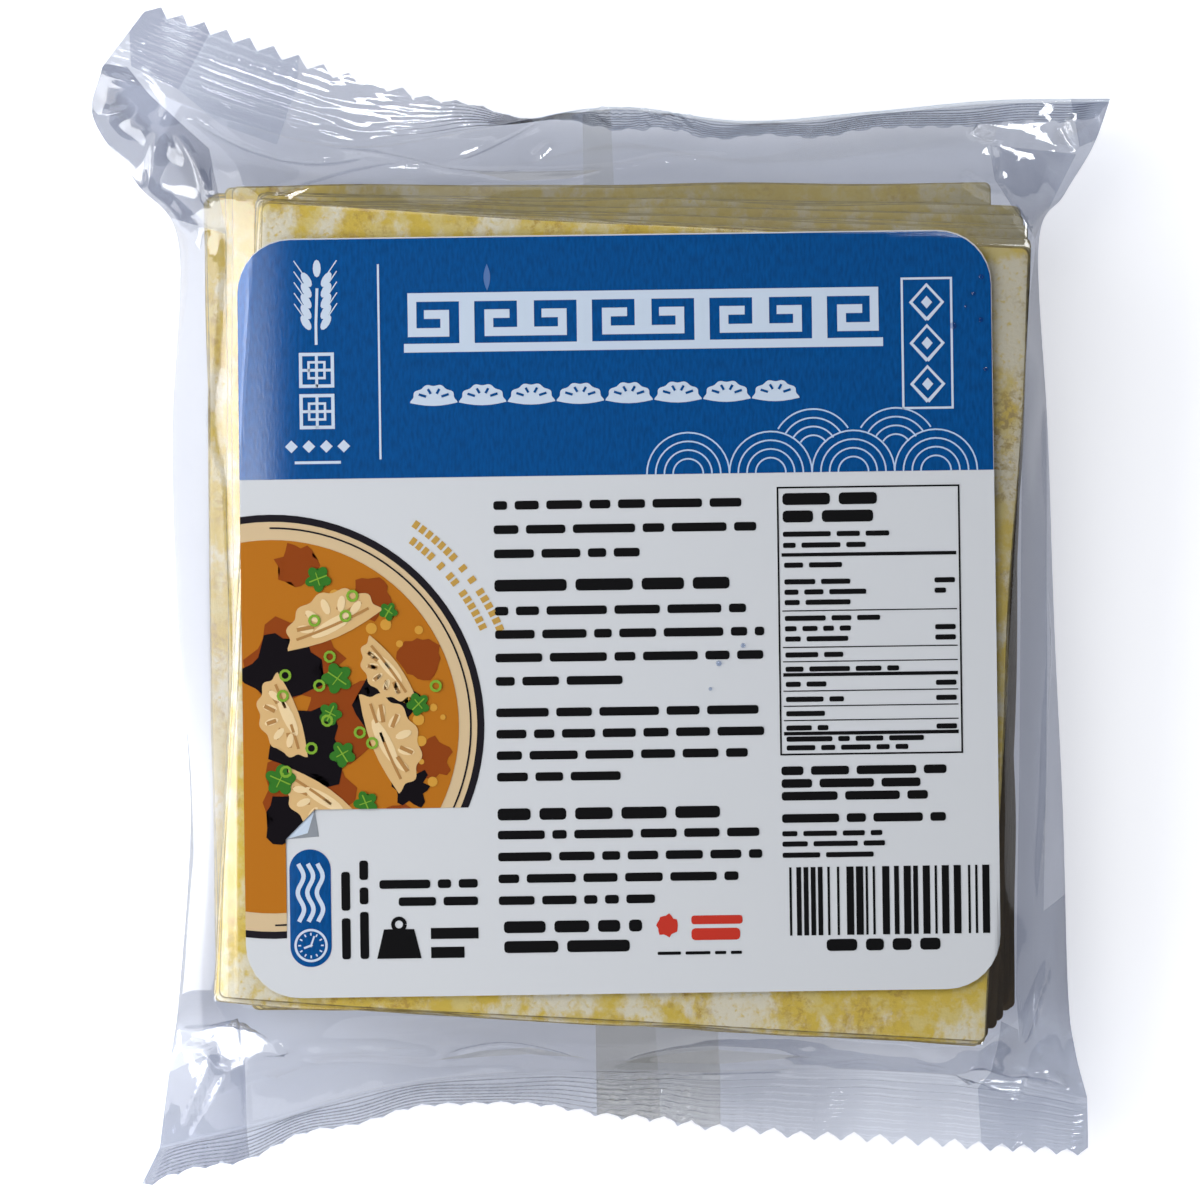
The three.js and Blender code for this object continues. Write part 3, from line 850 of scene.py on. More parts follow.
LAPS = {
    "lap_far_left": [(-60, 78), (-47, 76), (-53.5, 64.5), (-59.5, 67.5)],
    "lap_far_corner": [(-66, 68.3), (-60, 67.4), (-57.2, 63.9), (-49.5, 56.9), (-47.2, 46),
                       (-55.2, 48.6), (-66, 58)],
    "lap_far_fold": [(-47, 76), (-38, 72), (-38.5, 65), (-41, 57.5), (-48, 60), (-53.5, 64.5)],
    "lap_far_right": [(49.5, 57.5), (60.6, 56.5), (55, 45.4), (52, 49.5), (50, 53)],
    "lap_ear": [(59.5, 66), (68, 66), (68, 60.5), (61, 57.4)],
    "lap_right": [(55.2, 45), (54, 36.7), (53.2, 17.6), (53, -20.6), (52.7, -39.7), (52.6, -50),
                  (53.2, -57), (55, -50), (56.3, -39.7), (56.7, -20.6), (56.9, 17.6), (57, 34)],
    "lap_near_side": [(53.2, -57), (68, -57), (68, -32), (56.3, -39.7), (55, -50)],
    "lap_near_right": [(50.6, -53.4), (49.8, -60.4), (48.2, -62.5), (48.8, -69.5), (51, -75),
                       (68, -75), (68, -57), (53.2, -57), (52.9, -54.6)],
    "lap_near_left": [(-45, -58), (-45, -76), (-62, -80), (-58, -62), (-50, -58)],
}
LAP_FINISH = {"lap_far_left": tucked_plastic, "lap_far_corner": folded_plastic,
              "lap_far_fold": sealed_lap, "lap_near_left": tucked_plastic}
for name, outline in LAPS.items():
    gap = CLOSE_GAP if name == "lap_ear" or "_near_" in name else LAP_GAP
    lapped_ply(name, outline, gap, LAP_FINISH.get(name, lap_plastic))
# The pleats' brownish seam tint is a painted reflection of the dough in the folded film.
PLEATS = {
    "pleat_far": [(-16.5, 54.1), (-9, 54), (0, 54.2), (-4, 53.1), (-11, 52.8)],
    "pleat_near_left": [(-21, -58.7), (-15, -57.5), (-9, -57), (-1.5, -58.4), (-9, -57.9)],
    "pleat_near_right": [(2, -59), (9, -57.9), (15, -57.3), (27, -58.3), (15, -59.3)],
}
for name, outline in PLEATS.items():
    lapped_ply(name, outline, PLEAT_GAP, seam_and_painted_reflection_plastic)

# %% [markdown]
# The tube is closed by a seam, a flat fin of film that is welded and folded to one side. It is
# made as strips just under the lower film, one over its whole width and one where it is thickest.
# Their tints add up to the faint brown band that shows through the film at both ends.

# %% Back seam
# the seam's left edge, its inner line and its right edge, at the far end and at the near end
SEAM_FAR = (-2.2, 1.5, 13.3)
SEAM_NEAR = (-0.4, 7.7, 15.4)
SEAM_WAY = (-66, 59)
LOWEST_SEAM = 0.02


def back_seam(name, first, last, gap, rows, material):
    """A strip of the back seam between two of its lines, just under the lower film"""
    points = []
    for row in rows:
        y_row = film_under[row, COLUMNS // 2, 1]
        t = (y_row - SEAM_WAY[0]) / (SEAM_WAY[1] - SEAM_WAY[0])
        left = mix(SEAM_NEAR[first], SEAM_FAR[first], t)
        right = mix(SEAM_NEAR[last], SEAM_FAR[last], t)
        for px in np.linspace(left, right, SEAM_COLUMNS):
            py = np.interp(px, film_under[row, :, 0], film_under[row, :, 1])
            pz = np.interp(px, film_under[row, :, 0], film_under[row, :, 2])
            points.append((px, py, max(LOWEST_SEAM, pz - gap)))
    faces = grid_faces(len(rows), SEAM_COLUMNS, up=False)
    as_bag(mesh_piece(name, points, faces, material))


SEAM_COLUMNS = 14
back_seam("seam_outer", 0, 2, 0.03, range(FAR_STACK_ROW), seam_and_painted_reflection_plastic)
back_seam("seam_inner", 0, 1, 0.06, range(FAR_STACK_ROW), thin_seam)
back_seam("seam_far", 0, 1, 0.03, range(FAR_STACK_ROW - 1, FAR_ROOT_ROW), thin_seam)

# %% [markdown]
# ## The stack of wrappers
# The sheets are cut square and dusted with starch. The stack has slipped: its upper sheets have
# turned clockwise, and the ones in the middle have moved to the left and the far end. Each sheet
# is its own thin slab with a wavy outline, so the layers show at every side. Nothing but air lies
# under the upper sheets' left margin, so it sags a millimetre and the film beside it does the same.

# %% Sizes and places of the sheets
SHEETS = 38
SHEET_PITCH = 0.5
SHEET_THICK = 0.44
SHEET_SIDE = (97, 100.5)
SHEET_CORNER = 0.8
SIDE_POINTS = 36
CORNER_POINTS = 4
TOP_GAP = 0.2  # between the film and the top sheet
LOWEST_SHEET = 0.3
OUTLINE_WAVE = 0.18  # sheets are cut a little wavy, and they don't lie quite flat
SHEET_SWAY = 0.12
MARGIN_INSET = 0.985
SAGGING = 18  # sheets whose left margin sags, each a little less than the one above it
FIRST_DEEP_SHEET = 10  # from this sheet down, what shows of the sheets takes painted shade: brown at the near right, olive at the far side
# turn in degrees and centre of the stack's groups, from the top: (last sheet, turn, x, y)
GROUPS = [
    (10, -3.25, 2.7, -3.4), (12, -3.0, 3.2, -3.2), (14, -2.5, 3.9, -2.45), (17, -1.95, 4.4, -1.55),
    (20, -1.2, 4.3, -0.55), (24, -0.8, 4.3, 0.55), (27, 0.2, 1.3, 2.3), (31, 0.6, -0.9, 1.5),
    (34, 0.0, 4.2, -2.5), (38, -0.4, 3.4, -0.5),
]
# spread of each sheet round its group, in degrees and in millimetres
SLIP_TURN = 0.12
SLIP = 0.25
rng = np.random.default_rng(11)

# %% [markdown]
# A sheet is a few rings of points, one inside the other, that round off its cut edge. A bevel
# modifier could do that, but rings also give each face its place between margin and cut edge.


# %% One sheet
def square_outline(wide, long, corner):
    """Points round a square with rounded corners"""
    outline = []
    for quarter in range(4):
        half, other = (wide / 2, long / 2) if quarter % 2 == 0 else (long / 2, wide / 2)
        side = [(half, y) for y in np.linspace(-other + corner, other - corner, SIDE_POINTS)]
        angles = np.linspace(0, math.pi / 2, CORNER_POINTS + 2)[1:-1]
        bend = [(half - corner + corner * math.cos(a), other - corner + corner * math.sin(a))
                for a in angles]
        turn = quarter * math.pi / 2
        c, s = math.cos(turn), math.sin(turn)
        outline += [(c * x - s * y, s * x + c * y) for x, y in side + bend]
    return np.array(outline)


def sheet_mesh(i, points, faces, cut, deep_sheet):
    """Adds sheet i to the lists: rings round its margin, closed by its two faces"""
    turn, cx, cy = next(place for last, *place in GROUPS if i < last)
    turn = math.radians(turn + rng.normal(0, SLIP_TURN))
    cx, cy = cx + rng.normal(0, SLIP), cy + rng.normal(0, SLIP)
    flat = square_outline(*SHEET_SIDE, SHEET_CORNER)
    wave = slow_wobble(flat[:, 0], flat[:, 1], 30, 100 + i) * OUTLINE_WAVE
    flat *= 1 + wave[:, None] / 50
    spin = np.array([[math.cos(turn), math.sin(turn)], [-math.sin(turn), math.cos(turn)]])
    flat = flat @ spin + (cx, cy)
    centre = np.array([cx, cy])
    top = STACK_TOP - TOP_GAP - i * SHEET_PITCH
    sway = slow_wobble(flat[:, 0], flat[:, 1], 45, 60) * SHEET_SWAY
    first = len(points)
    rings = [(0.925, 0), (0.955, 0), (MARGIN_INSET, 0), (0.9965, 0), (1.0, -0.05),
             (1.0, -SHEET_THICK + 0.05), (MARGIN_INSET, -SHEET_THICK), (0.94, -SHEET_THICK)]
    share = max(0, 1 - i / SAGGING)
    for inset, drop in rings:
        ring = centre + (flat - centre) * inset
        level = top + drop + sway - share * margin_sag(ring[:, 0])
        points.extend((px, py, max(LOWEST_SHEET, pz)) for (px, py), pz in zip(ring, level))
    n = len(flat)
    # The bevel ring takes most of the cut edge's colour, as painted shade for the gaps between
    # sheets.
    for k, tone in enumerate((0.0, 0.0, 0.0, 0.8, 1.0, 0.0, 0.0)):
        for j in range(n):
            a, b = first + k * n + j, first + k * n + (j + 1) % n
            faces.append((a, a + n, b + n, b))
            cut.append(tone)
    faces.append(tuple(first + j for j in range(n)))
    faces.append(tuple(first + (len(rings) - 1) * n + j for j in reversed(range(n))))
    cut.extend([0.0, 0.0])
    deep_sheet.extend([float(i >= FIRST_DEEP_SHEET)] * (len(cut) - len(deep_sheet)))


# %% [markdown]
# Fresh egg dough is a warm yellow, dusted with corn starch that lies on it in pale clouds, with
# small golden flecks between them. The cut edges are moist and darker, and the narrow bevel above
# each takes their colour too, as painted shade for the dark gaps between stacked sheets. The deeper
# sheets that show at the near right are painted dark brown and the far ones olive, and the top's
# far right strip is greyed: all painted shade. Dough is matt, so its gloss is kept low.

# %% Dough material
dough, tree = new_material("rolled egg dough dusted with corn starch")
coords = add_node(tree, "ShaderNodeTexCoord")
place = add_node(tree, "ShaderNodeSeparateXYZ", inputs={0: coords.outputs["Object"]})
edge_and_gap_shade = add_node(tree, "ShaderNodeAttribute", {"attribute_name": "edge_and_gap_shade"})
deep_sheet = add_node(tree, "ShaderNodeAttribute", {"attribute_name": "deep_sheet"})
# width of its lumps in millimetres, detail, roughness, stretch: the rollers draw out the clouds
NOISES = {
    "cloud": (5.5, 6.0, 0.6, 0.7), "patch": (3.2, 5.0, 0.65, 1), "drift": (9.0, 2.0, 0.5, 1),
    "speck": (1.1, 6.0, 0.75, 1), "grain": (0.7, 3.0, 0.5, 1), "crumb": (1.5, 4.0, 0.5, 1),
}
noise = {}
for name, (lump, detail, roughness, along) in NOISES.items():
    stretched = add_node(tree, "ShaderNodeVectorMath", TIMES, {
        0: coords.outputs["Object"], 1: (1, along, 1)})
    noise[name] = add_node(tree, "ShaderNodeTexNoise", inputs={
        "Vector": stretched, "Scale": 1 / (lump * MM), "Detail": detail, "Roughness": roughness})

# %% [markdown]
# Masks say where each finish lies. Each is a soft step of a noise or of the place on the pack, or
# two such steps multiplied. A painted image would do as well, but steps need no file and stay
# sharp at any distance.

# %% Dough masks
# what is read, where the step starts and where it ends
STEPS = {
    "patchy": (noise["patch"], 0.44, 0.6), "drifted": (noise["drift"], 0.46, 0.62),
    "specked": (noise["speck"], 0.46, 0.62), "grainy": (noise["grain"], 0.2, 0.5),
    "crumbed": (noise["crumb"], 0.4, 0.6),
    "past_right": (place.outputs[0], 43 * MM, 47 * MM),
    "not_near": (place.outputs[1], -30 * MM, -10 * MM),
    "at_right": (place.outputs[0], 44 * MM, 49 * MM),
    "not_far": (place.outputs[1], 43 * MM, 30 * MM),
    "not_left": (place.outputs[0], -45 * MM, -25 * MM),
    "at_far": (place.outputs[1], 30 * MM, 44 * MM),
}
step = {name: add_node(tree, "ShaderNodeMapRange", SOFT_STEP, {
    "Value": value, "From Min": low, "From Max": high})
    for name, (value, low, high) in STEPS.items()}

far_right = add_node(tree, "ShaderNodeMath", TIMES, {0: step["past_right"], 1: step["not_near"]})
clouds = add_node(tree, "ShaderNodeMath", {"operation": "MULTIPLY_ADD"}, {
    0: far_right, 1: 0.05, 2: noise["cloud"]})
clouded = add_node(tree, "ShaderNodeMapRange", SOFT_STEP, {
    "Value": clouds, "From Min": 0.47, "From Max": 0.62})
near_right = add_node(tree, "ShaderNodeMath", TIMES, {0: step["at_right"], 1: step["not_far"]})
far_side = add_node(tree, "ShaderNodeMath", TIMES, {0: step["not_left"], 1: step["at_far"]})
dust = add_node(tree, "ShaderNodeMath", TIMES, {0: clouded, 1: step["grainy"]})
golden = add_node(tree, "ShaderNodeMath", TIMES, {0: step["drifted"], 1: step["specked"]})
toasted = add_node(tree, "ShaderNodeMath", TIMES, {0: golden, 1: far_right})
# Painted shade: the far right of the top is greyed, for the shade beside the stack's right edge.
painted_shade_far_right = add_node(tree, "ShaderNodeMath", TIMES, {0: far_right, 1: 0.3})
# Painted shade: the deep sheets that show at the near right turn dark brown, where the stack's side
# is in shade.
painted_shade_near_right = add_node(tree, "ShaderNodeMath", TIMES, {0: deep_sheet.outputs["Fac"], 1: near_right})
# Painted shade: the deep sheets that show at the far side are turned a dull olive.
painted_shade_far_side = add_node(tree, "ShaderNodeMath", TIMES, {0: deep_sheet.outputs["Fac"], 1: far_side})
painted_shade_far_side_half = add_node(tree, "ShaderNodeMath", TIMES, {0: painted_shade_far_side, 1: 0.6})
print(len(NOISES), "noises and", len(STEPS), "steps")

# %% Dough colours
# The moist cut edges' own darker colour, which on the bevels is also painted shade for the gaps.
edge_and_gap_shade_colour = add_node(tree, "ShaderNodeMix", COLOURS, {
    0: step["crumbed"], 6: linear("#6e5c30"), 7: linear("#9c8a52")})

# each colour is laid over the ones before it, as far as its own mask lets it show
surface = linear("#e0c350")
for mask, colour in ((step["patchy"], linear("#e3cf82")), (golden, linear("#c5a24a")),
                     (dust, linear("#ebe3cd")), (toasted, linear("#b0985a")),
                     (painted_shade_far_right, linear("#8f876f")), (edge_and_gap_shade.outputs["Fac"], edge_and_gap_shade_colour),
                     (painted_shade_far_side_half, linear("#a3986e")), (painted_shade_near_right, linear("#5d4a2c"))):
    surface = add_node(tree, "ShaderNodeMix", COLOURS, {0: mask, 6: surface, 7: colour})
relief = add_node(tree, "ShaderNodeBump", inputs={
    "Height": noise["grain"], "Strength": 0.5, "Distance": 0.2 * MM})
shader = add_node(tree, "ShaderNodeBsdfPrincipled", inputs={
    "Base Color": surface, "Roughness": 0.6, "Normal": relief, "Specular IOR Level": 0.3})
add_node(tree, "ShaderNodeOutputMaterial", inputs={"Surface": shader})
print(dough.name, "with", len(tree.nodes), "nodes")

# %% [markdown]
# All sheets go into one mesh, and two numbers on each face tell the material what it is: how far
# it takes the cut edge's colour, which on the bevel is painted shade, and whether its sheet lies
# deep enough in the stack to take painted shade where it shows.

# %% Build the stack
points, faces, cut, deep_sheet_faces = [], [], [], []
for i in range(SHEETS):
    sheet_mesh(i, points, faces, cut, deep_sheet_faces)
stack = mesh_piece("wrapper_stack", points, faces, dough)
stack.data.attributes.new("edge_and_gap_shade", "FLOAT", "FACE").data.foreach_set("value", cut)
stack.data.attributes.new("deep_sheet", "FLOAT", "FACE").data.foreach_set("value", deep_sheet_faces)
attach(stack, "root")
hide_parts("film_bag")
print("stack of", SHEETS, "sheets,", len(faces), "faces")

# %% [markdown]
# ## The label
# The label is a square of coated paper with rounded corners, stuck on the film over the stack.
# It bends down a little where it reaches past the stack's edge. Its print is drawn as thin
# shapes laid on the paper one over another, so its edges stay sharp at any distance.
# Paper and print are nearly matt. Only the blue head is varnished over a fine linen grain. Its
# left margin curls down, and this curl is a bump, as the label's own form stays flat there.

# %% Label sheet
LABEL_WIDE = 95
LABEL_LONG = 95.6
LABEL_CORNER = 6.8
LABEL_TURN = math.radians(0.8)
LABEL_CENTRE = (2.35, -2)
LABEL_GAP = 0.3
print("label of", LABEL_WIDE, "by", LABEL_LONG, "mm")
BRIDGED = 0.9  # folds narrower than about twice this are bridged by the stiff paper

film_tree = BVHTree.FromPolygons(
    upper.reshape(-1, 3).tolist(), grid_faces(ROWS, COLUMNS).tolist())


def label_to_pack(u, v):
    """A place on the label, measured from its middle, in the pack's own frame"""
    c, s = math.cos(LABEL_TURN), math.sin(LABEL_TURN)
    return c * u - s * v + LABEL_CENTRE[0], s * u + c * v + LABEL_CENTRE[1]


def film_height(px, py):
    hit = film_tree.ray_cast(Vector((px, py, ABOVE)), DOWN)[0]
    return hit.z if hit else 0.0


height_store = {}


def label_height(u, v):
    """Height of the label's lower face, which bridges folds within a short reach"""
    key = (round(u, 2), round(v, 2))
    if key not in height_store:
        px, py = label_to_pack(u, v)
        spots = [(0, 0), (BRIDGED, 0), (-BRIDGED, 0), (0, BRIDGED), (0, -BRIDGED)]
        height_store[key] = max(film_height(px + dx, py + dy) for dx, dy in spots) + LABEL_GAP
    return height_store[key]


def rounded_box(u0, v0, u1, v1, corner, steps=8):
    """Outline of a box with rounded corners, anticlockwise"""
    outline = []
    for cu, cv, start in ((u1 - corner, v1 - corner, 0), (u0 + corner, v1 - corner, 90),
                          (u0 + corner, v0 + corner, 180), (u1 - corner, v0 + corner, 270)):
        for k in range(steps + 1):
            angle = math.radians(start + 90 * k / steps)
            outline.append((cu + corner * math.cos(angle), cv + corner * math.sin(angle)))
    return outline


# %% [markdown]
# Everything on the label goes through one function. It cuts flat shapes along lines and drops
# each point on the film. A shrinkwrap modifier could drop them too, but it would follow each
# crease, where stiff paper bridges it.

# %% Lay shapes on the label
# Close cuts near the rim, where the label bends, and wide ones in its flat middle
RIM_CUTS = [47.4, 47.1, 46.8, 46.4, 46, 45.5, 45, 44, 43, 41.5]
CUTS_ACROSS = [-c for c in RIM_CUTS] + list(range(-38, 42, 8)) + RIM_CUTS[::-1]
CUTS_ALONG = [-44] + list(range(-40, 44, 5)) + [45, 45.6, 46.1, 46.5, 46.8, 47.05, 47.25, 47.45]
STAGGER = 0.003  # between shapes of one ink, so that two that overlap don't share a surface


def thicken(bm, thick):
    """Closes an open sheet to a slab. Blender's own extrusion makes the rim in no fixed order."""
    rim = [tuple(edge.verts) for edge in bm.edges if edge.is_boundary]
    raised = {vert: bm.verts.new(vert.co + Vector((0, 0, thick * MM))) for vert in bm.verts[:]}
    for face in bm.faces[:]:
        bm.faces.new([raised[vert] for vert in face.verts])
        face.normal_flip()
    for a, b in rim:
        bm.faces.new([a, b, raised[b], raised[a]])
    bmesh.ops.recalc_face_normals(bm, faces=bm.faces[:])


def lay_on_label(name, shapes, layer, material, thick=0.0):
    """Lays flat shapes on the label as one piece, cut finely enough to bend with it"""
    bm = cut_shapes(shapes, CUTS_ACROSS, CUTS_ALONG, STAGGER)
    bm.normal_update()
    bmesh.ops.reverse_faces(bm, faces=[face for face in bm.faces if face.normal.z < 0])
    for vert in bm.verts:
        u, v, lift = vert.co
        px, py = label_to_pack(u, v)
        vert.co = Vector((px, py, label_height(u, v) + layer + lift)) * MM
    if thick:
        thicken(bm, thick)
    piece = bmesh_piece(name, bm, material, smooth=False)
    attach(piece, "root")
    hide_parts("label")


# %% [markdown]
# Label paper is coated with clay and has a soft sheen, and offset ink lies on it as a thin matt
# skin. The varnish on the blue head is pressed with linen threads, which break its shine into
# short strokes. The threads are a stretched noise in the bump, a little coarser than real ones.


# %% Paper
def paper_material(name, colour, roughness, gloss=0.1, linen=0.0, curl=0.0):
    """Coated paper or ink on it. Linen is how deep its embossed threads are, in millimetres."""
    material, tree = new_material(name)
    inputs = {"Base Color": linear(colour), "Roughness": roughness, "Specular IOR Level": gloss}
    if linen:
        coords = add_node(tree, "ShaderNodeTexCoord")
        stretched = add_node(tree, "ShaderNodeVectorMath", TIMES, {
            0: coords.outputs["Object"],
            1: (1 / (THREAD_PITCH * MM), 1 / (4 * THREAD_PITCH * MM), 0)})
        threads = add_node(tree, "ShaderNodeTexNoise", inputs={
            "Vector": stretched, "Scale": 1.0, "Detail": 2.0})
        place = add_node(tree, "ShaderNodeSeparateXYZ", inputs={0: coords.outputs["Object"]})
        edge = add_node(tree, "ShaderNodeMapRange", inputs={
            "Value": place.outputs[0], "From Min": CURL_FROM * MM, "From Max": CURL_TO * MM})
        fall = add_node(tree, "ShaderNodeMath", {"operation": "POWER"}, {0: edge, 1: 2.0})
        bent = add_node(tree, "ShaderNodeBump", {"invert": True}, {
            "Height": fall, "Strength": 1.0, "Distance": curl * MM})
        inputs["Normal"] = add_node(tree, "ShaderNodeBump", inputs={
            "Height": threads, "Strength": 1.0, "Distance": linen * MM, "Normal": bent})
        # The ink is painted darker in the threads' hollows and lighter on their crests: painted
        # shade and painted highlight.
        shaded_hollow = [c * 0.6 for c in linear(colour)[:3]] + [1.0]
        lit_crest = [min(1.0, c * 1.45) for c in linear(colour)[:3]] + [1.0]
        inputs["Base Color"] = add_node(tree, "ShaderNodeMix", COLOURS, {
            0: threads, 6: shaded_hollow, 7: lit_crest})
    shader = add_node(tree, "ShaderNodeBsdfPrincipled", inputs=inputs)
    add_node(tree, "ShaderNodeOutputMaterial", inputs={"Surface": shader})
    return material


CURL_FROM = -37
CURL_TO = -46
THREAD_PITCH = 0.36  # a little coarser than the real linen, so that it shows
PAPER_THICK = 0.2
paper = paper_material("coated label paper", "#d5d8dc", 0.42, 0.06)
half_wide, half_long = LABEL_WIDE / 2, LABEL_LONG / 2
label_outline = rounded_box(-half_wide, -half_long, half_wide, half_long, LABEL_CORNER)
lay_on_label("label_sheet", [label_outline], 0, paper, PAPER_THICK)

# %% [markdown]
# ## The print
# The print is fields of ink: a blue head with pale ornaments, a picture of a bowl of soup, and
# rows of black bars for the reading matter. The ornaments are old common ones: an ear of wheat,
# a fret, half-moon dumplings, lattice and wave scales. Each field of ink is a piece of its own,
# and each shape is a short outline in label millimetres.


# %% Shapes to draw with
def box(u0, v0, u1, v1):
    return [(u0, v0), (u1, v0), (u1, v1), (u0, v1)]


def oval(cu, cv, ru, rv, turn=0, steps=28):
    c, s = math.cos(turn), math.sin(turn)
    angles = [2 * math.pi * k / steps for k in range(steps)]
    flat = [(ru * math.cos(a), rv * math.sin(a)) for a in angles]
    return [(cu + c * x - s * y, cv + s * x + c * y) for x, y in flat]


def ribbon(points, width):
    """Quads along a line, closed at its corners"""
    p = np.array(points, float)
    way = np.gradient(p, axis=0)
    way /= np.linalg.norm(way, axis=1, keepdims=True)
    side = np.stack([-way[:, 1], way[:, 0]], axis=1) * width / 2
    a, b = p + side, p - side
    return [[tuple(corner) for corner in (b[k], b[k + 1], a[k + 1], a[k])]
            for k in range(len(p) - 1)]


def strokes(points, width):
    """Straight strokes with square ends between corners, for frets and frames"""
    shapes = []
    for (u0, v0), (u1, v1) in zip(points, points[1:]):
        h = width / 2
        shapes.append(box(min(u0, u1) - h, min(v0, v1) - h, max(u0, u1) + h, max(v0, v1) + h))
    return shapes


def arc(cu, cv, radius, start, stop, steps):
    angles = np.radians(np.linspace(start, stop, steps + 1))
    return [(cu + radius * math.cos(a), cv + radius * math.sin(a)) for a in angles]


def ring(cu, cv, radius, width, start=0, stop=360, steps=48):
    return ribbon(arc(cu, cv, radius, start, stop, steps), width)


def placed(shapes, cu, cv, turn=0.0):
    """Shapes drawn round the origin, turned and moved to a place"""
    c, s = math.cos(turn), math.sin(turn)
    return [[(cu + c * x - s * y, cv + s * x + c * y) for x, y in shape] for shape in shapes]


def clip(shape, across, edge):
    """The part of a shape on one side of a straight line: where across . (u, v) is over edge"""
    if not shape:
        return []
    side = [across[0] * u + across[1] * v - edge for u, v in shape]
    kept = []
    for k, (here, there) in enumerate(zip(side, side[1:] + side[:1])):
        (u0, v0), (u1, v1) = shape[k], shape[(k + 1) % len(shape)]
        if here >= 0:
            kept.append((u0, v0))
        if (here >= 0) != (there >= 0):
            t = here / (here - there)
            kept.append((u0 + (u1 - u0) * t, v0 + (v1 - v0) * t))
    return kept if len(kept) > 2 else []


# %% [markdown]
# Each ink is one flat colour, as on a stencil print. It lies a few hundredths of a millimetre
# above what is under it. Real ink is thinner, but two surfaces at one height flicker.


# %% Ink
def print_ink(name, shapes, layer, material):
    """One ink, a few hundredths of a millimetre above what it is printed on"""
    lay_on_label(name, shapes, PAPER_THICK + layer * INK_STEP, material)


INK_STEP = 0.03
blue_ink = paper_material("blue offset ink under varnish", "#004a8a", 0.22, 0.5, linen=0.014,
                          curl=1.2)
INKS = {
    # colour, roughness, gloss
    "pale blue-white": ("#c9d7e8", 0.42, 0.06), "light blue": ("#b3cbe8", 0.42, 0.06),
    "black": ("#0c0c0e", 0.5, 0.05), "red": ("#c43527", 0.45), "ochre": ("#c29a4a", 0.45),
    "blue-black": ("#1f1c22", 0.4, 0.05), "cream": ("#d6bd96", 0.4, 0.05),
    "amber": ("#b8711f", 0.4, 0.05), "deep amber": ("#8f4317", 0.4, 0.05),
    "light amber": ("#d29a3e", 0.4, 0.05), "near black": ("#120e13", 0.4, 0.05),
    "dumpling dough": ("#d9b47c", 0.4), "pale dough": ("#ecd2a3", 0.4),
    "shaded dough": ("#b2834c", 0.4), "leaf green": ("#377528", 0.4, 0.05),
    "light green": ("#80ab38", 0.4, 0.05), "grey": ("#8f949b", 0.45),
}
ink = {colour: paper_material(colour + " offset ink", *finish) for colour, finish in INKS.items()}
white_ink, black_ink = ink["pale blue-white"], ink["black"]
print(len(INKS) + 1, "inks")

# %% [markdown]
# ### The blue head
# The head is a blue field over the label's top third. Its corners follow the paper's, and it
# stops a hair before the right edge, where the sheet was cut a little off the print.

# %% Blue head
HEAD_FOOT = 17.5
HEAD_EDGE = 0.08
head = [p for p in rounded_box(-half_wide, -half_long, half_wide - HEAD_EDGE,
                               half_long - 2 * HEAD_EDGE, LABEL_CORNER) if p[1] > HEAD_FOOT]
head = head + [(-half_wide, HEAD_FOOT), (half_wide - HEAD_EDGE, HEAD_FOOT)]
print_ink("print_head", [head], 1, blue_ink)

# %% [markdown]
# A key fret is a square spiral that repeats, with every other one mirrored, and all stand on one
# line. Under it is a row of half-moon dumplings, whose rims wave where the dough is pleated. A
# frame at the right holds three lozenges.


# %% Fret band, dumpling row and frame
def fret(u, v, unit, width, way):
    """A square spiral of a key fret. way is 1, or -1 for its mirror image."""
    k = unit / 7.2
    corners = [(-3.2, 0), (-3.2, 6.2), (3.1, 6.2), (3.1, 1.9), (-0.9, 1.9), (-0.9, 4.1), (1.1, 4.1)]
    shapes = strokes([(u + way * x * k, v + y * k) for x, y in corners], width)
    return shapes + strokes([(u - unit / 2, v), (u + unit / 2, v)], width)


def half_moon(size, folds=5):
    """A dumpling from the side: a half-moon with a pleated rim"""
    rim = [(size * math.cos(a) * (1 + 0.05 * math.cos(2 * folds * a)),
            size * 0.78 * math.sin(a) * (1 + 0.05 * math.cos(2 * folds * a)))
           for a in np.linspace(0, math.pi, 8 * folds + 1)]
    foot = [(x, -0.14 * size * (1 - (x / size) ** 2)) for x in np.linspace(-size, size, 7)[1:-1]]
    return rim + foot


def pleats(size, folds=5, width=0.3):
    """Thin wedges that part a dumpling's pleats"""
    shapes = []
    for k in range(1, folds):
        a = math.pi * k / folds
        tip, base = 0.82 * size, 0.42 * size
        shapes += ribbon([(base * math.cos(a), base * 0.78 * math.sin(a) + 0.08 * size),
                          (tip * math.cos(a), tip * 0.78 * math.sin(a))], width)
    return shapes


BAND_LEFT = -26
BAND_FOOT = 33.8
FRET_UNIT = 7.4
FRET_WIDE = 1.1
white = []
for k in range(8):
    white += fret(BAND_LEFT + (k + 0.5) * FRET_UNIT, BAND_FOOT, FRET_UNIT, FRET_WIDE,
                  1 if k % 2 else -1)
DUMPLING = 2.85
DUMPLING_PITCH = 6.15
dumpling_row = [(-22.9 + DUMPLING_PITCH * k, 26.9) for k in range(8)]
for place in dumpling_row:
    white += placed([half_moon(DUMPLING)], *place)
white += strokes([(-29.7, 20), (-29.7, 44.3)], 0.26)
white += strokes([(36.2, 25.4), (42.4, 25.4), (42.4, 41.7), (36.2, 41.7), (36.2, 25.4)], 0.28)
for v in (28.4, 33.55, 38.7):
    white += ribbon([(39.3 + 2.0 * x, v + 2.2 * y) for x, y in
                     ((0, -1), (1, 0), (0, 1), (-1, 0), (0, -1))], 0.45)
    white += [oval(39.3, v, 0.7, 0.8, steps=4)]
print(len(white), "white shapes in the band, the row and the frame")

# %% [markdown]
# The wheat ear is pairs of grains along a stalk, each with a bristle. Below it are two lattices of
# crossing bars, as in old window screens, and a row of lozenges. A loop places whatever repeats.

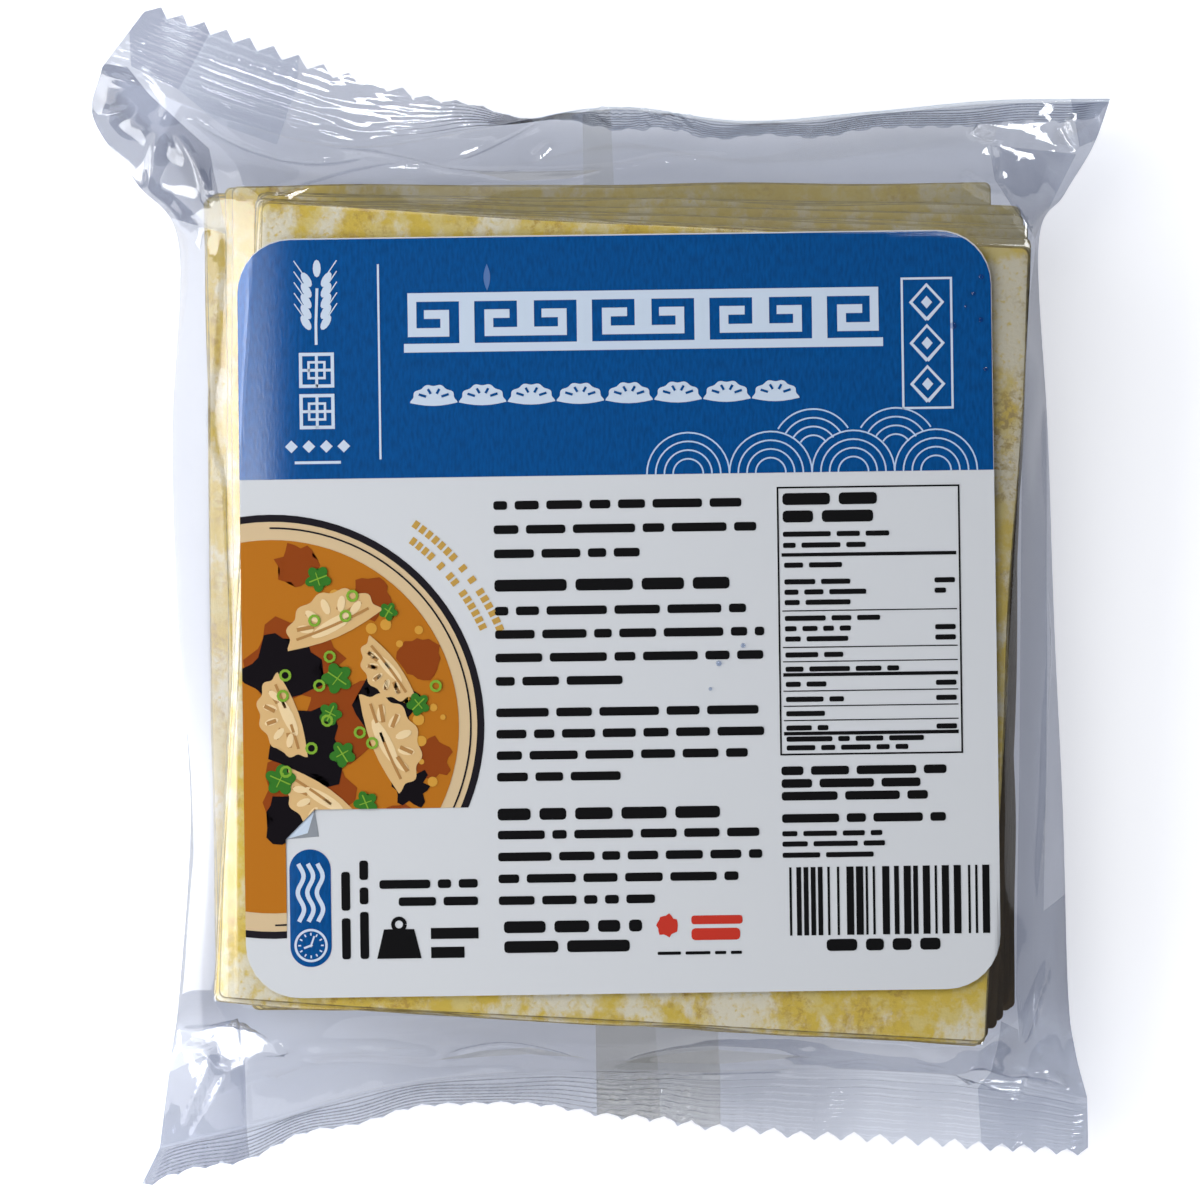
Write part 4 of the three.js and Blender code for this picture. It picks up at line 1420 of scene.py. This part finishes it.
# %% Wheat ear and lattice
EAR_U = -37.6
GRAIN_PITCH = 1.35
white += ribbon([(EAR_U, 34.4), (EAR_U, 37), (EAR_U + 0.2, 41.5)], 0.35)
for k in range(5):
    for side in (-1, 1):
        rise = GRAIN_PITCH * k
        white += [oval(EAR_U + side * 1.25 + 0.03 * k, 37.2 + rise, 0.5, 1.05, -side * 0.55, 12)]
        bristle = [(EAR_U + side * 1.6, 38 + rise), (EAR_U + side * 2.7, 39.6 + rise)]
        white += ribbon(bristle, 0.14)
white += [oval(EAR_U + 0.2, 44.0, 0.5, 1.1, 0, 12)]
for low in (29.2, 24.0):
    u0, u1, v0, v1 = EAR_U - 2, EAR_U + 2, low, low + 4
    white += strokes([(u0, v0), (u1, v0), (u1, v1), (u0, v1), (u0, v0)], 0.42)
    white += strokes([(u0, v0 + 2), (u1, v0 + 2)], 0.36)
    white += strokes([(EAR_U, v0), (EAR_U, v1)], 0.36)
    white += strokes([(u0 + 1, v0 + 1), (u1 - 1, v0 + 1), (u1 - 1, v1 - 1), (u0 + 1, v1 - 1),
                      (u0 + 1, v0 + 1)], 0.3)
for k in range(4):
    white += [oval(EAR_U - 3.3 + 2.2 * k, 21.6, 0.8, 0.8, steps=4)]
white += [box(EAR_U - 2.9, 19.4, EAR_U + 2.9, 19.75)]
print(len(white), "white shapes in the head")

# %% [markdown]
# Wave scales are rows of arcs round one middle. The upper row stands half a scale further on and
# shows only the tops of its arcs.

# %% Wave scales
SCALE_RADIUS = 5.2
WAVE_LINE = 0.2
SCALE_ROWS = [
    # height over the head's foot, first middle, last middle, the angle at which its arcs start
    (0, 9.0, 44.0, 0), (2.75, 24.8, 44.0, 32),
]
waves = []
for rise, first, last, low in SCALE_ROWS:
    u = first
    while u < last:
        for radius in (SCALE_RADIUS, 4.1, 3.0, 1.9):
            waves += ring(u, HEAD_FOOT + rise, radius, WAVE_LINE, low, 180 - low, 20)
        u += 2 * SCALE_RADIUS
waves = [shape for shape in waves if max(p[0] for p in shape) < half_wide - 0.3]
print_ink("print_white", white, 2, white_ink)
print_ink("print_waves", waves, 2, ink["light blue"])
print_ink("print_pleats", [s for place in dumpling_row for s in placed(pleats(DUMPLING), *place)],
          3, blue_ink)

# %% [markdown]
# ### The bowl
# The picture of a bowl of soup runs off the label's left edge and ends at a white panel. So each
# of its shapes is first cut along the straight lines that frame it. Booleans could cut them too,
# but between flat shapes they are slow and can fail.

# %% Frame of the picture
PANEL_TOP = -24.1
PANEL_LEFT = -42.3
TURNED = 3.7
# The picture shows left of the panel, above it, and in its turned-up corner
BOWL_WINDOWS = [
    [((-1, 0), -PANEL_LEFT)],
    [((1, 0), PANEL_LEFT), ((0, 1), PANEL_TOP)],
    [((1, 0), PANEL_LEFT), ((0, -1), -PANEL_TOP), ((-1, 1), PANEL_TOP - TURNED - PANEL_LEFT)],
]


def picture_ink(name, shapes, layer, material):
    """An ink of the bowl's picture, which stops at the label's left edge and at the panel"""
    pieces = []
    for shape in shapes:
        on_label = clip([tuple(p) for p in shape], (1, 0), -half_wide)
        for window in BOWL_WINDOWS:
            piece = on_label
            for across, edge in window:
                piece = clip(piece, across, edge)
            if piece:
                pieces.append(piece)
    print_ink(name, pieces, layer, material)


# %% [markdown]
# The bowl is built up like a stencil print: rim, glaze and broth, then the things that float in
# it, each in two or three inks. Random draws from a fixed seed make it the same in every run.

# %% Rim and broth
BOWL = (-43.8, -13.6)
BOWL_RADIUS = 26.7
draw = np.random.default_rng(5)


def bowl_disc(radius):
    return oval(*BOWL, radius, radius, steps=96)


def in_bowl(distance, angle):
    """A place in the bowl by its distance from the middle and its direction in degrees"""
    a = math.radians(angle)
    return BOWL[0] + distance * math.cos(a), BOWL[1] + distance * math.sin(a)


picture_ink("print_bowl_rim", [bowl_disc(BOWL_RADIUS)], 1, ink["blue-black"])
picture_ink("print_bowl_glaze", [bowl_disc(BOWL_RADIUS - 0.9)], 2, ink["cream"])
picture_ink("print_bowl_line", ring(*BOWL, BOWL_RADIUS - 1.7, 0.22, -90, 90, 60), 3,
            ink["blue-black"])
picture_ink("print_broth", [bowl_disc(BOWL_RADIUS - 3.2)], 3, ink["amber"])

# %% [markdown]
# Darker patches of broth and black pieces of mushroom are discs with an uneven rim. Fat floats
# on the broth as small round eyes.


# %% What floats on the broth
def blob(cu, cv, radius, rough):
    """An irregular round patch"""
    steps = BLOB_POINTS
    bumps = 1 + rough * np.sin(np.arange(steps) * draw.uniform(0.8, 2.2) + draw.uniform(0, 6))
    bumps += rough * 0.6 * draw.normal(size=steps)
    return [(cu + radius * b * math.cos(2 * math.pi * k / steps),
             cv + radius * b * math.sin(2 * math.pi * k / steps)) for k, b in enumerate(bumps)]


BLOB_POINTS = 22
deep = [blob(*in_bowl(20.5, a), 2.6, 0.12) for a in (-38, -12, 24, 52, 80)]
deep += [blob(*in_bowl(9, a), 5.4, 0.12) for a in (-60, 5, 70)]
picture_ink("print_broth_deep", deep, 4, ink["deep amber"])
fat = [oval(*in_bowl(draw.uniform(17, 22.5), draw.uniform(-70, 80)), r, r, steps=12)
       for r in draw.uniform(0.25, 0.75, 26)]
picture_ink("print_oil", fat, 5, ink["light amber"])
MUSHROOMS = ((7.0, 80, 4.4), (15, 10, 3.8), (5.0, -32, 4.6), (19, -24, 2.4), (12, -78, 3.4))
fungus = [blob(*in_bowl(distance, angle), radius, 0.2) for distance, angle, radius in MUSHROOMS]
picture_ink("print_fungus", fungus, 5, ink["near black"])

# %% [markdown]
# Five dumplings float in the broth, each turned its own way. They reuse the half-moon of the head
# with a shaded and a light tone.

# %% Dumplings in the bowl
SERVED = [
    # distance and direction from the bowl's middle, turn, size
    (14.5, 56, 0.4, 6.2), (13.6, -10, -1.2, 6.4), (11.0, -52, 2.5, 5.6), (3.0, 30, 1.9, 5.4),
    (17.0, 26, 2.2, 4.6),
]
base, dark, light = [], [], []
for distance, angle, turn, size in SERVED:
    place = in_bowl(distance, angle)
    base += placed([half_moon(size, 6)], *place, turn)
    dark += placed(pleats(size, 6, 0.5), *place, turn)
    dark += placed(ribbon([(x, -0.05 * size * (1 - (x / size) ** 2) + 0.16 * size)
                           for x in np.linspace(-0.8 * size, 0.8 * size, 9)], 0.35), *place, turn)
    light += placed([oval(0, 0.12 * size, 0.5 * size, 0.13 * size, 0.1, 16)], *place, turn)
    for k in range(5):
        a = math.pi * (k + 0.5) / 6 + 0.25
        light += placed([oval(0.64 * size * math.cos(a), 0.52 * size * math.sin(a),
                              0.17 * size, 0.08 * size, a, 10)], *place, turn)
picture_ink("print_dumplings", base, 6, ink["dumpling dough"])
picture_ink("print_dumpling_shade", dark, 7, ink["shaded dough"])
picture_ink("print_dumpling_light", light, 7, ink["pale dough"])

# %% [markdown]
# Flat leaves with two veins and rings of scallion lie between the dumplings.


# %% Herbs
def leaf(size):
    """A flat herb leaf with five round lobes"""
    return [(size * (0.62 + 0.38 * abs(math.cos(5 * a / 2))) * math.cos(a),
             size * (0.62 + 0.38 * abs(math.cos(5 * a / 2))) * math.sin(a))
            for a in np.linspace(0, 2 * math.pi, 40, endpoint=False)]


LEAVES = [
    # distance and direction from the bowl's middle, size
    (19.5, 72, 1.7), (10.2, 36, 2.0), (7.5, 12, 1.5), (18.6, 8, 1.5), (9.5, -22, 1.7),
    (15.2, -40, 1.6), (6.8, -82, 2.0), (20.6, 44, 1.2),
]
leaves, veins, rings = [], [], []
for distance, angle, size in LEAVES:
    place = in_bowl(distance, angle)
    turn = draw.uniform(0, 6)
    leaves += placed([leaf(size)], *place, turn)
    veins += placed(ribbon([(-0.7 * size, 0), (0.7 * size, 0)], 0.16)
                    + ribbon([(0, -0.5 * size), (0.1, 0.5 * size)], 0.12), *place, turn)
for _ in range(15):
    rings += ring(*in_bowl(draw.uniform(4, 22), draw.uniform(-80, 85)), 0.62, 0.34, steps=10)
picture_ink("print_leaves", leaves, 8, ink["leaf green"])
picture_ink("print_scallions", veins + rings, 9, ink["light green"])

# %% [markdown]
# ### Reading matter
# Each word is a plain bar here, and each row a few bars of uneven length, which gives the label
# the grey texture of small print. Random draws give the bars their lengths.


# %% Rows of bars
def word_row(u0, u1, v, thick, short=0.0):
    """A row of words, each a plain bar. The row may stop short of its end."""
    shapes = []
    u = u0
    end = u1 - short * (u1 - u0)
    while u < end - 1.2:
        wide = min(draw.uniform(1.6, 7.5) * math.sqrt(thick), end - u)
        shapes.append(rounded_box(u, v, u + wide, v + thick, min(wide, thick) * 0.3, 2))
        u += wide + 0.9 * math.sqrt(thick)
    return shapes


def text_block(u0, u1, top, rows, pitch, thick):
    """Several rows, of which the last is shorter"""
    shapes = []
    for k in range(rows):
        short = draw.uniform(0.25, 0.6) if k == rows - 1 else draw.uniform(0, 0.08)
        shapes += word_row(u0, u1, top - k * pitch, thick, short)
    return shapes


BODY_BAR = 1.1
BOLD_BAR = 1.5
black = text_block(-15.6, 18.4, 13.3, 3, 3.05, BODY_BAR)
black += word_row(-15.6, 14.0, 3.0, BOLD_BAR)
black += text_block(-15.6, 18.4, 0.0, 4, 2.95, BODY_BAR)
black += text_block(-15.6, 18.4, -12.8, 4, 2.7, BODY_BAR)
black += word_row(-15.6, 12.4, -25.8, BOLD_BAR)
black += text_block(-15.6, 18.4, -28.2, 4, 2.75, BODY_BAR)
black += word_row(-15.0, 2.4, -40.0, BOLD_BAR) + word_row(-15.0, 2.4, -42.5, BOLD_BAR)
black += word_row(-30.6, -18.2, -34.2, BODY_BAR) + word_row(-28.2, -18.2, -36.4, BODY_BAR)
black += [[(-31.0, -43.0), (-25.4, -43.0), (-26.3, -39.3), (-30.1, -39.3)]]
black += ring(-28.2, -38.7, 0.75, 0.5, steps=16)
black += [box(-24.2, -40.6, -18.2, -39.2), box(-24.2, -43.0, -20.0, -41.6)]
for u, low, high in ((-35.4, -43.0, -32.0), (-33.1, -43.0, -30.6)):
    sideways = word_row(0, high - low, 0, BODY_BAR)
    black += [[(u + BODY_BAR - y, low + x) for x, y in shape] for shape in sideways]
print(len(black), "black shapes in the rows")

# %% [markdown]
# A ruled table fills the right side, and stripes of random width stand under it. The small marks
# are a weight, a red spot and a row of ochre bars that runs along the bowl.

# %% Table, stripes and small marks
TABLE = (20.2, -18.0, 43.0, 15.6)
SMALL_BAR = 0.65
u0, v0, u1, v1 = TABLE
black += strokes([(u0, v0), (u1, v0), (u1, v1), (u0, v1), (u0, v0)], 0.22)
for v, wide, thick in ((13.4, 12.5, BOLD_BAR), (11.2, 12, BOLD_BAR), (9.4, 14, SMALL_BAR),
                       (8, 11, SMALL_BAR)):
    black += word_row(u0 + 0.6, u0 + wide, v, thick)
TABLE_RULES = (6.9, 0.0, -4.6, -6.4, -8.2, -10.1, -12.0, -13.8, -15.6)
for k, v in enumerate(TABLE_RULES):
    black += [box(u0 + 0.4, v, u1 - 0.4, v + (0.45 if k in (0, 4, 8) else 0.14))]
TABLE_ROWS = [
    # height, where its words end, and whether a bar stands at the right
    (5.5, 8, 0), (3.4, 9, 1), (2.1, 11, 1), (0.8, 9, 0), (-1.2, 13, 0), (-2.5, 9, 1), (-3.8, 9, 1),
    (-5.8, 8, 0), (-7.6, 15, 0), (-9.5, 7, 1), (-11.4, 8, 1), (-13.2, 7, 0), (-15.0, 6, 1),
    (-16.4, 18, 0), (-17.5, 17, 0),
]
for v, wide, amount in TABLE_ROWS:
    black += word_row(u0 + 0.7, u0 + wide, v, SMALL_BAR)
    if amount:
        black += word_row(u1 - 3.2, u1 - 0.6, v, SMALL_BAR)
for v in (-20.6, -22.2, -23.8):
    black += word_row(20.2, 42 - draw.uniform(0, 3), v, BODY_BAR)
black += word_row(20.2, 41, -26.6, BODY_BAR)
for v in (-28.3, -29.6, -31.0):
    black += word_row(20.2, 34 - draw.uniform(0, 4), v, SMALL_BAR)
STRIPE_UNIT = 0.3
u = 21.0
while u < 46.0:
    wide = STRIPE_UNIT * float(draw.integers(1, 4))
    black += [box(u, -40.8, u + wide, -32.2)]
    u += wide + STRIPE_UNIT * float(draw.integers(1, 4))
black += word_row(25.6, 42.0, -42.8, BOLD_BAR)
print_ink("print_black", black, 1, black_ink)
red = [blob(5.6, -39.3, 1.35, 0.08)]
red += word_row(8.6, 16.8, -39.2, BODY_BAR) + word_row(8.6, 16.8, -41.2, BOLD_BAR)
print_ink("print_red", red, 1, ink["red"])
print_ink("print_small_black", word_row(4.3, 16.6, -43.0, 0.4), 1, black_ink)
gold = []
for radius, first, last in ((29.3, 24, 52), (31.2, 22, 54)):
    angle = first
    while angle < last:
        gold += ring(*BOWL, radius, 1.0, angle, angle + 1.3, 2)
        angle += 1.9 if draw.random() > 0.2 else 3.4
print_ink("print_gold", gold, 1, ink["ochre"])

# %% [markdown]
# A white panel covers the bowl's foot. Its top left corner is drawn as if turned up. Below it is
# a blue badge for the cooking time: a clock dial with plain marks, under rising steam.

# %% Turned corner and badge
corner = [(PANEL_LEFT, PANEL_TOP - TURNED), (PANEL_LEFT + TURNED, PANEL_TOP)]
shade_tip = (PANEL_LEFT + TURNED + 0.5, PANEL_TOP - TURNED + 0.3)
light_tip = (PANEL_LEFT + 0.75 * TURNED, PANEL_TOP - 0.8 * TURNED)
print_ink("print_turned_corner", [corner + [shade_tip]], 1, ink["grey"])
print_ink("print_turned_light", [corner + [light_tip]], 2, white_ink)
BADGE = (-41.9, -43.9, -36.7, -29.1)
BADGE_MIDDLE = (BADGE[0] + BADGE[2]) / 2
DIAL = (BADGE_MIDDLE, BADGE[1] + 2.7)
print_ink("print_badge", [rounded_box(*BADGE, 2.55, 12)], 1, blue_ink)
marks = ring(*DIAL, 1.95, 0.3)
for k in range(12):
    marks += placed([box(1.25, -0.09, 1.6, 0.09)], *DIAL, math.radians(30 * k))
marks += placed([box(-0.2, -0.11, 1.25, 0.11)], *DIAL, math.radians(70))
marks += placed([box(-0.2, -0.13, 0.95, 0.13)], *DIAL, math.radians(200))
for shift in (-1.2, 0, 1.2):
    marks += ribbon([(BADGE_MIDDLE + shift + 0.38 * math.sin(1.5 * v), v)
                     for v in np.linspace(-38.2, -30.9, 25)], 0.55)
print_ink("print_dial", marks, 2, white_ink)

# %% [markdown]
# The pack comes from a cold room, so a few drops of dew stand on the label. A small dent shines
# in the blue ink, and its highlight is painted as a paler blue shape. Water is clear, with an index
# of refraction of 1.33, so a drop shows by the light that it mirrors and by its darker rim.

# %% Painted dent highlight and dew
dent_highlight = [(-16 + 0.42 * math.sin(math.pi * t) * side, 40.9 + 3.4 * t)
           for side, way in ((1, 1), (-1, -1)) for t in np.linspace(0, 1, 9)[::way]]
print_ink("print_dent_highlight", [dent_highlight], 2,
          paper_material("blue ink with a painted dent highlight", "#5677ad", 0.4))

water = film_material("dew", "#d3ddee", "#6f86aa", index=1.33, most=0.5)
DEW = [
    # place on the label, radius
    (46.2, 41.8, 0.32), (45.2, 39.7, 0.26), (44.2, 38.1, 0.16), (42.6, 35.7, 0.42),
    (46.1, 36.4, 0.3), (46.6, 30.2, 0.28), (12.5, -6.4, 0.35), (15.6, -4.2, 0.3),
    (11.4, -9.6, 0.22),
]
DOME_HIGH = 0.45  # as a share of its radius
DOME_RINGS = 5
DOME_SIDES = 14
points, faces = [], []
for u, v, radius in DEW:
    px, py = label_to_pack(u, v)
    foot = label_height(u, v) + PAPER_THICK + 3 * INK_STEP
    first = len(points)
    for k in range(DOME_RINGS):
        bend = math.pi / 2 * k / DOME_RINGS
        for j in range(DOME_SIDES):
            turn = 2 * math.pi * j / DOME_SIDES
            points.append((px + radius * math.cos(bend) * math.cos(turn),
                           py + radius * math.cos(bend) * math.sin(turn),
                           foot + DOME_HIGH * radius * math.sin(bend)))
    points.append((px, py, foot + DOME_HIGH * radius))
    for k in range(DOME_RINGS - 1):
        for j in range(DOME_SIDES):
            a, b = first + k * DOME_SIDES + j, first + k * DOME_SIDES + (j + 1) % DOME_SIDES
            faces.append((a, b, b + DOME_SIDES, a + DOME_SIDES))
    last = first + (DOME_RINGS - 1) * DOME_SIDES
    for j in range(DOME_SIDES):
        faces.append((last + j, last + (j + 1) % DOME_SIDES, len(points) - 1))
dew = mesh_piece("dew", points, faces, water)
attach(dew, "root")
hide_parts("label")
print(len(DEW), "drops of dew")
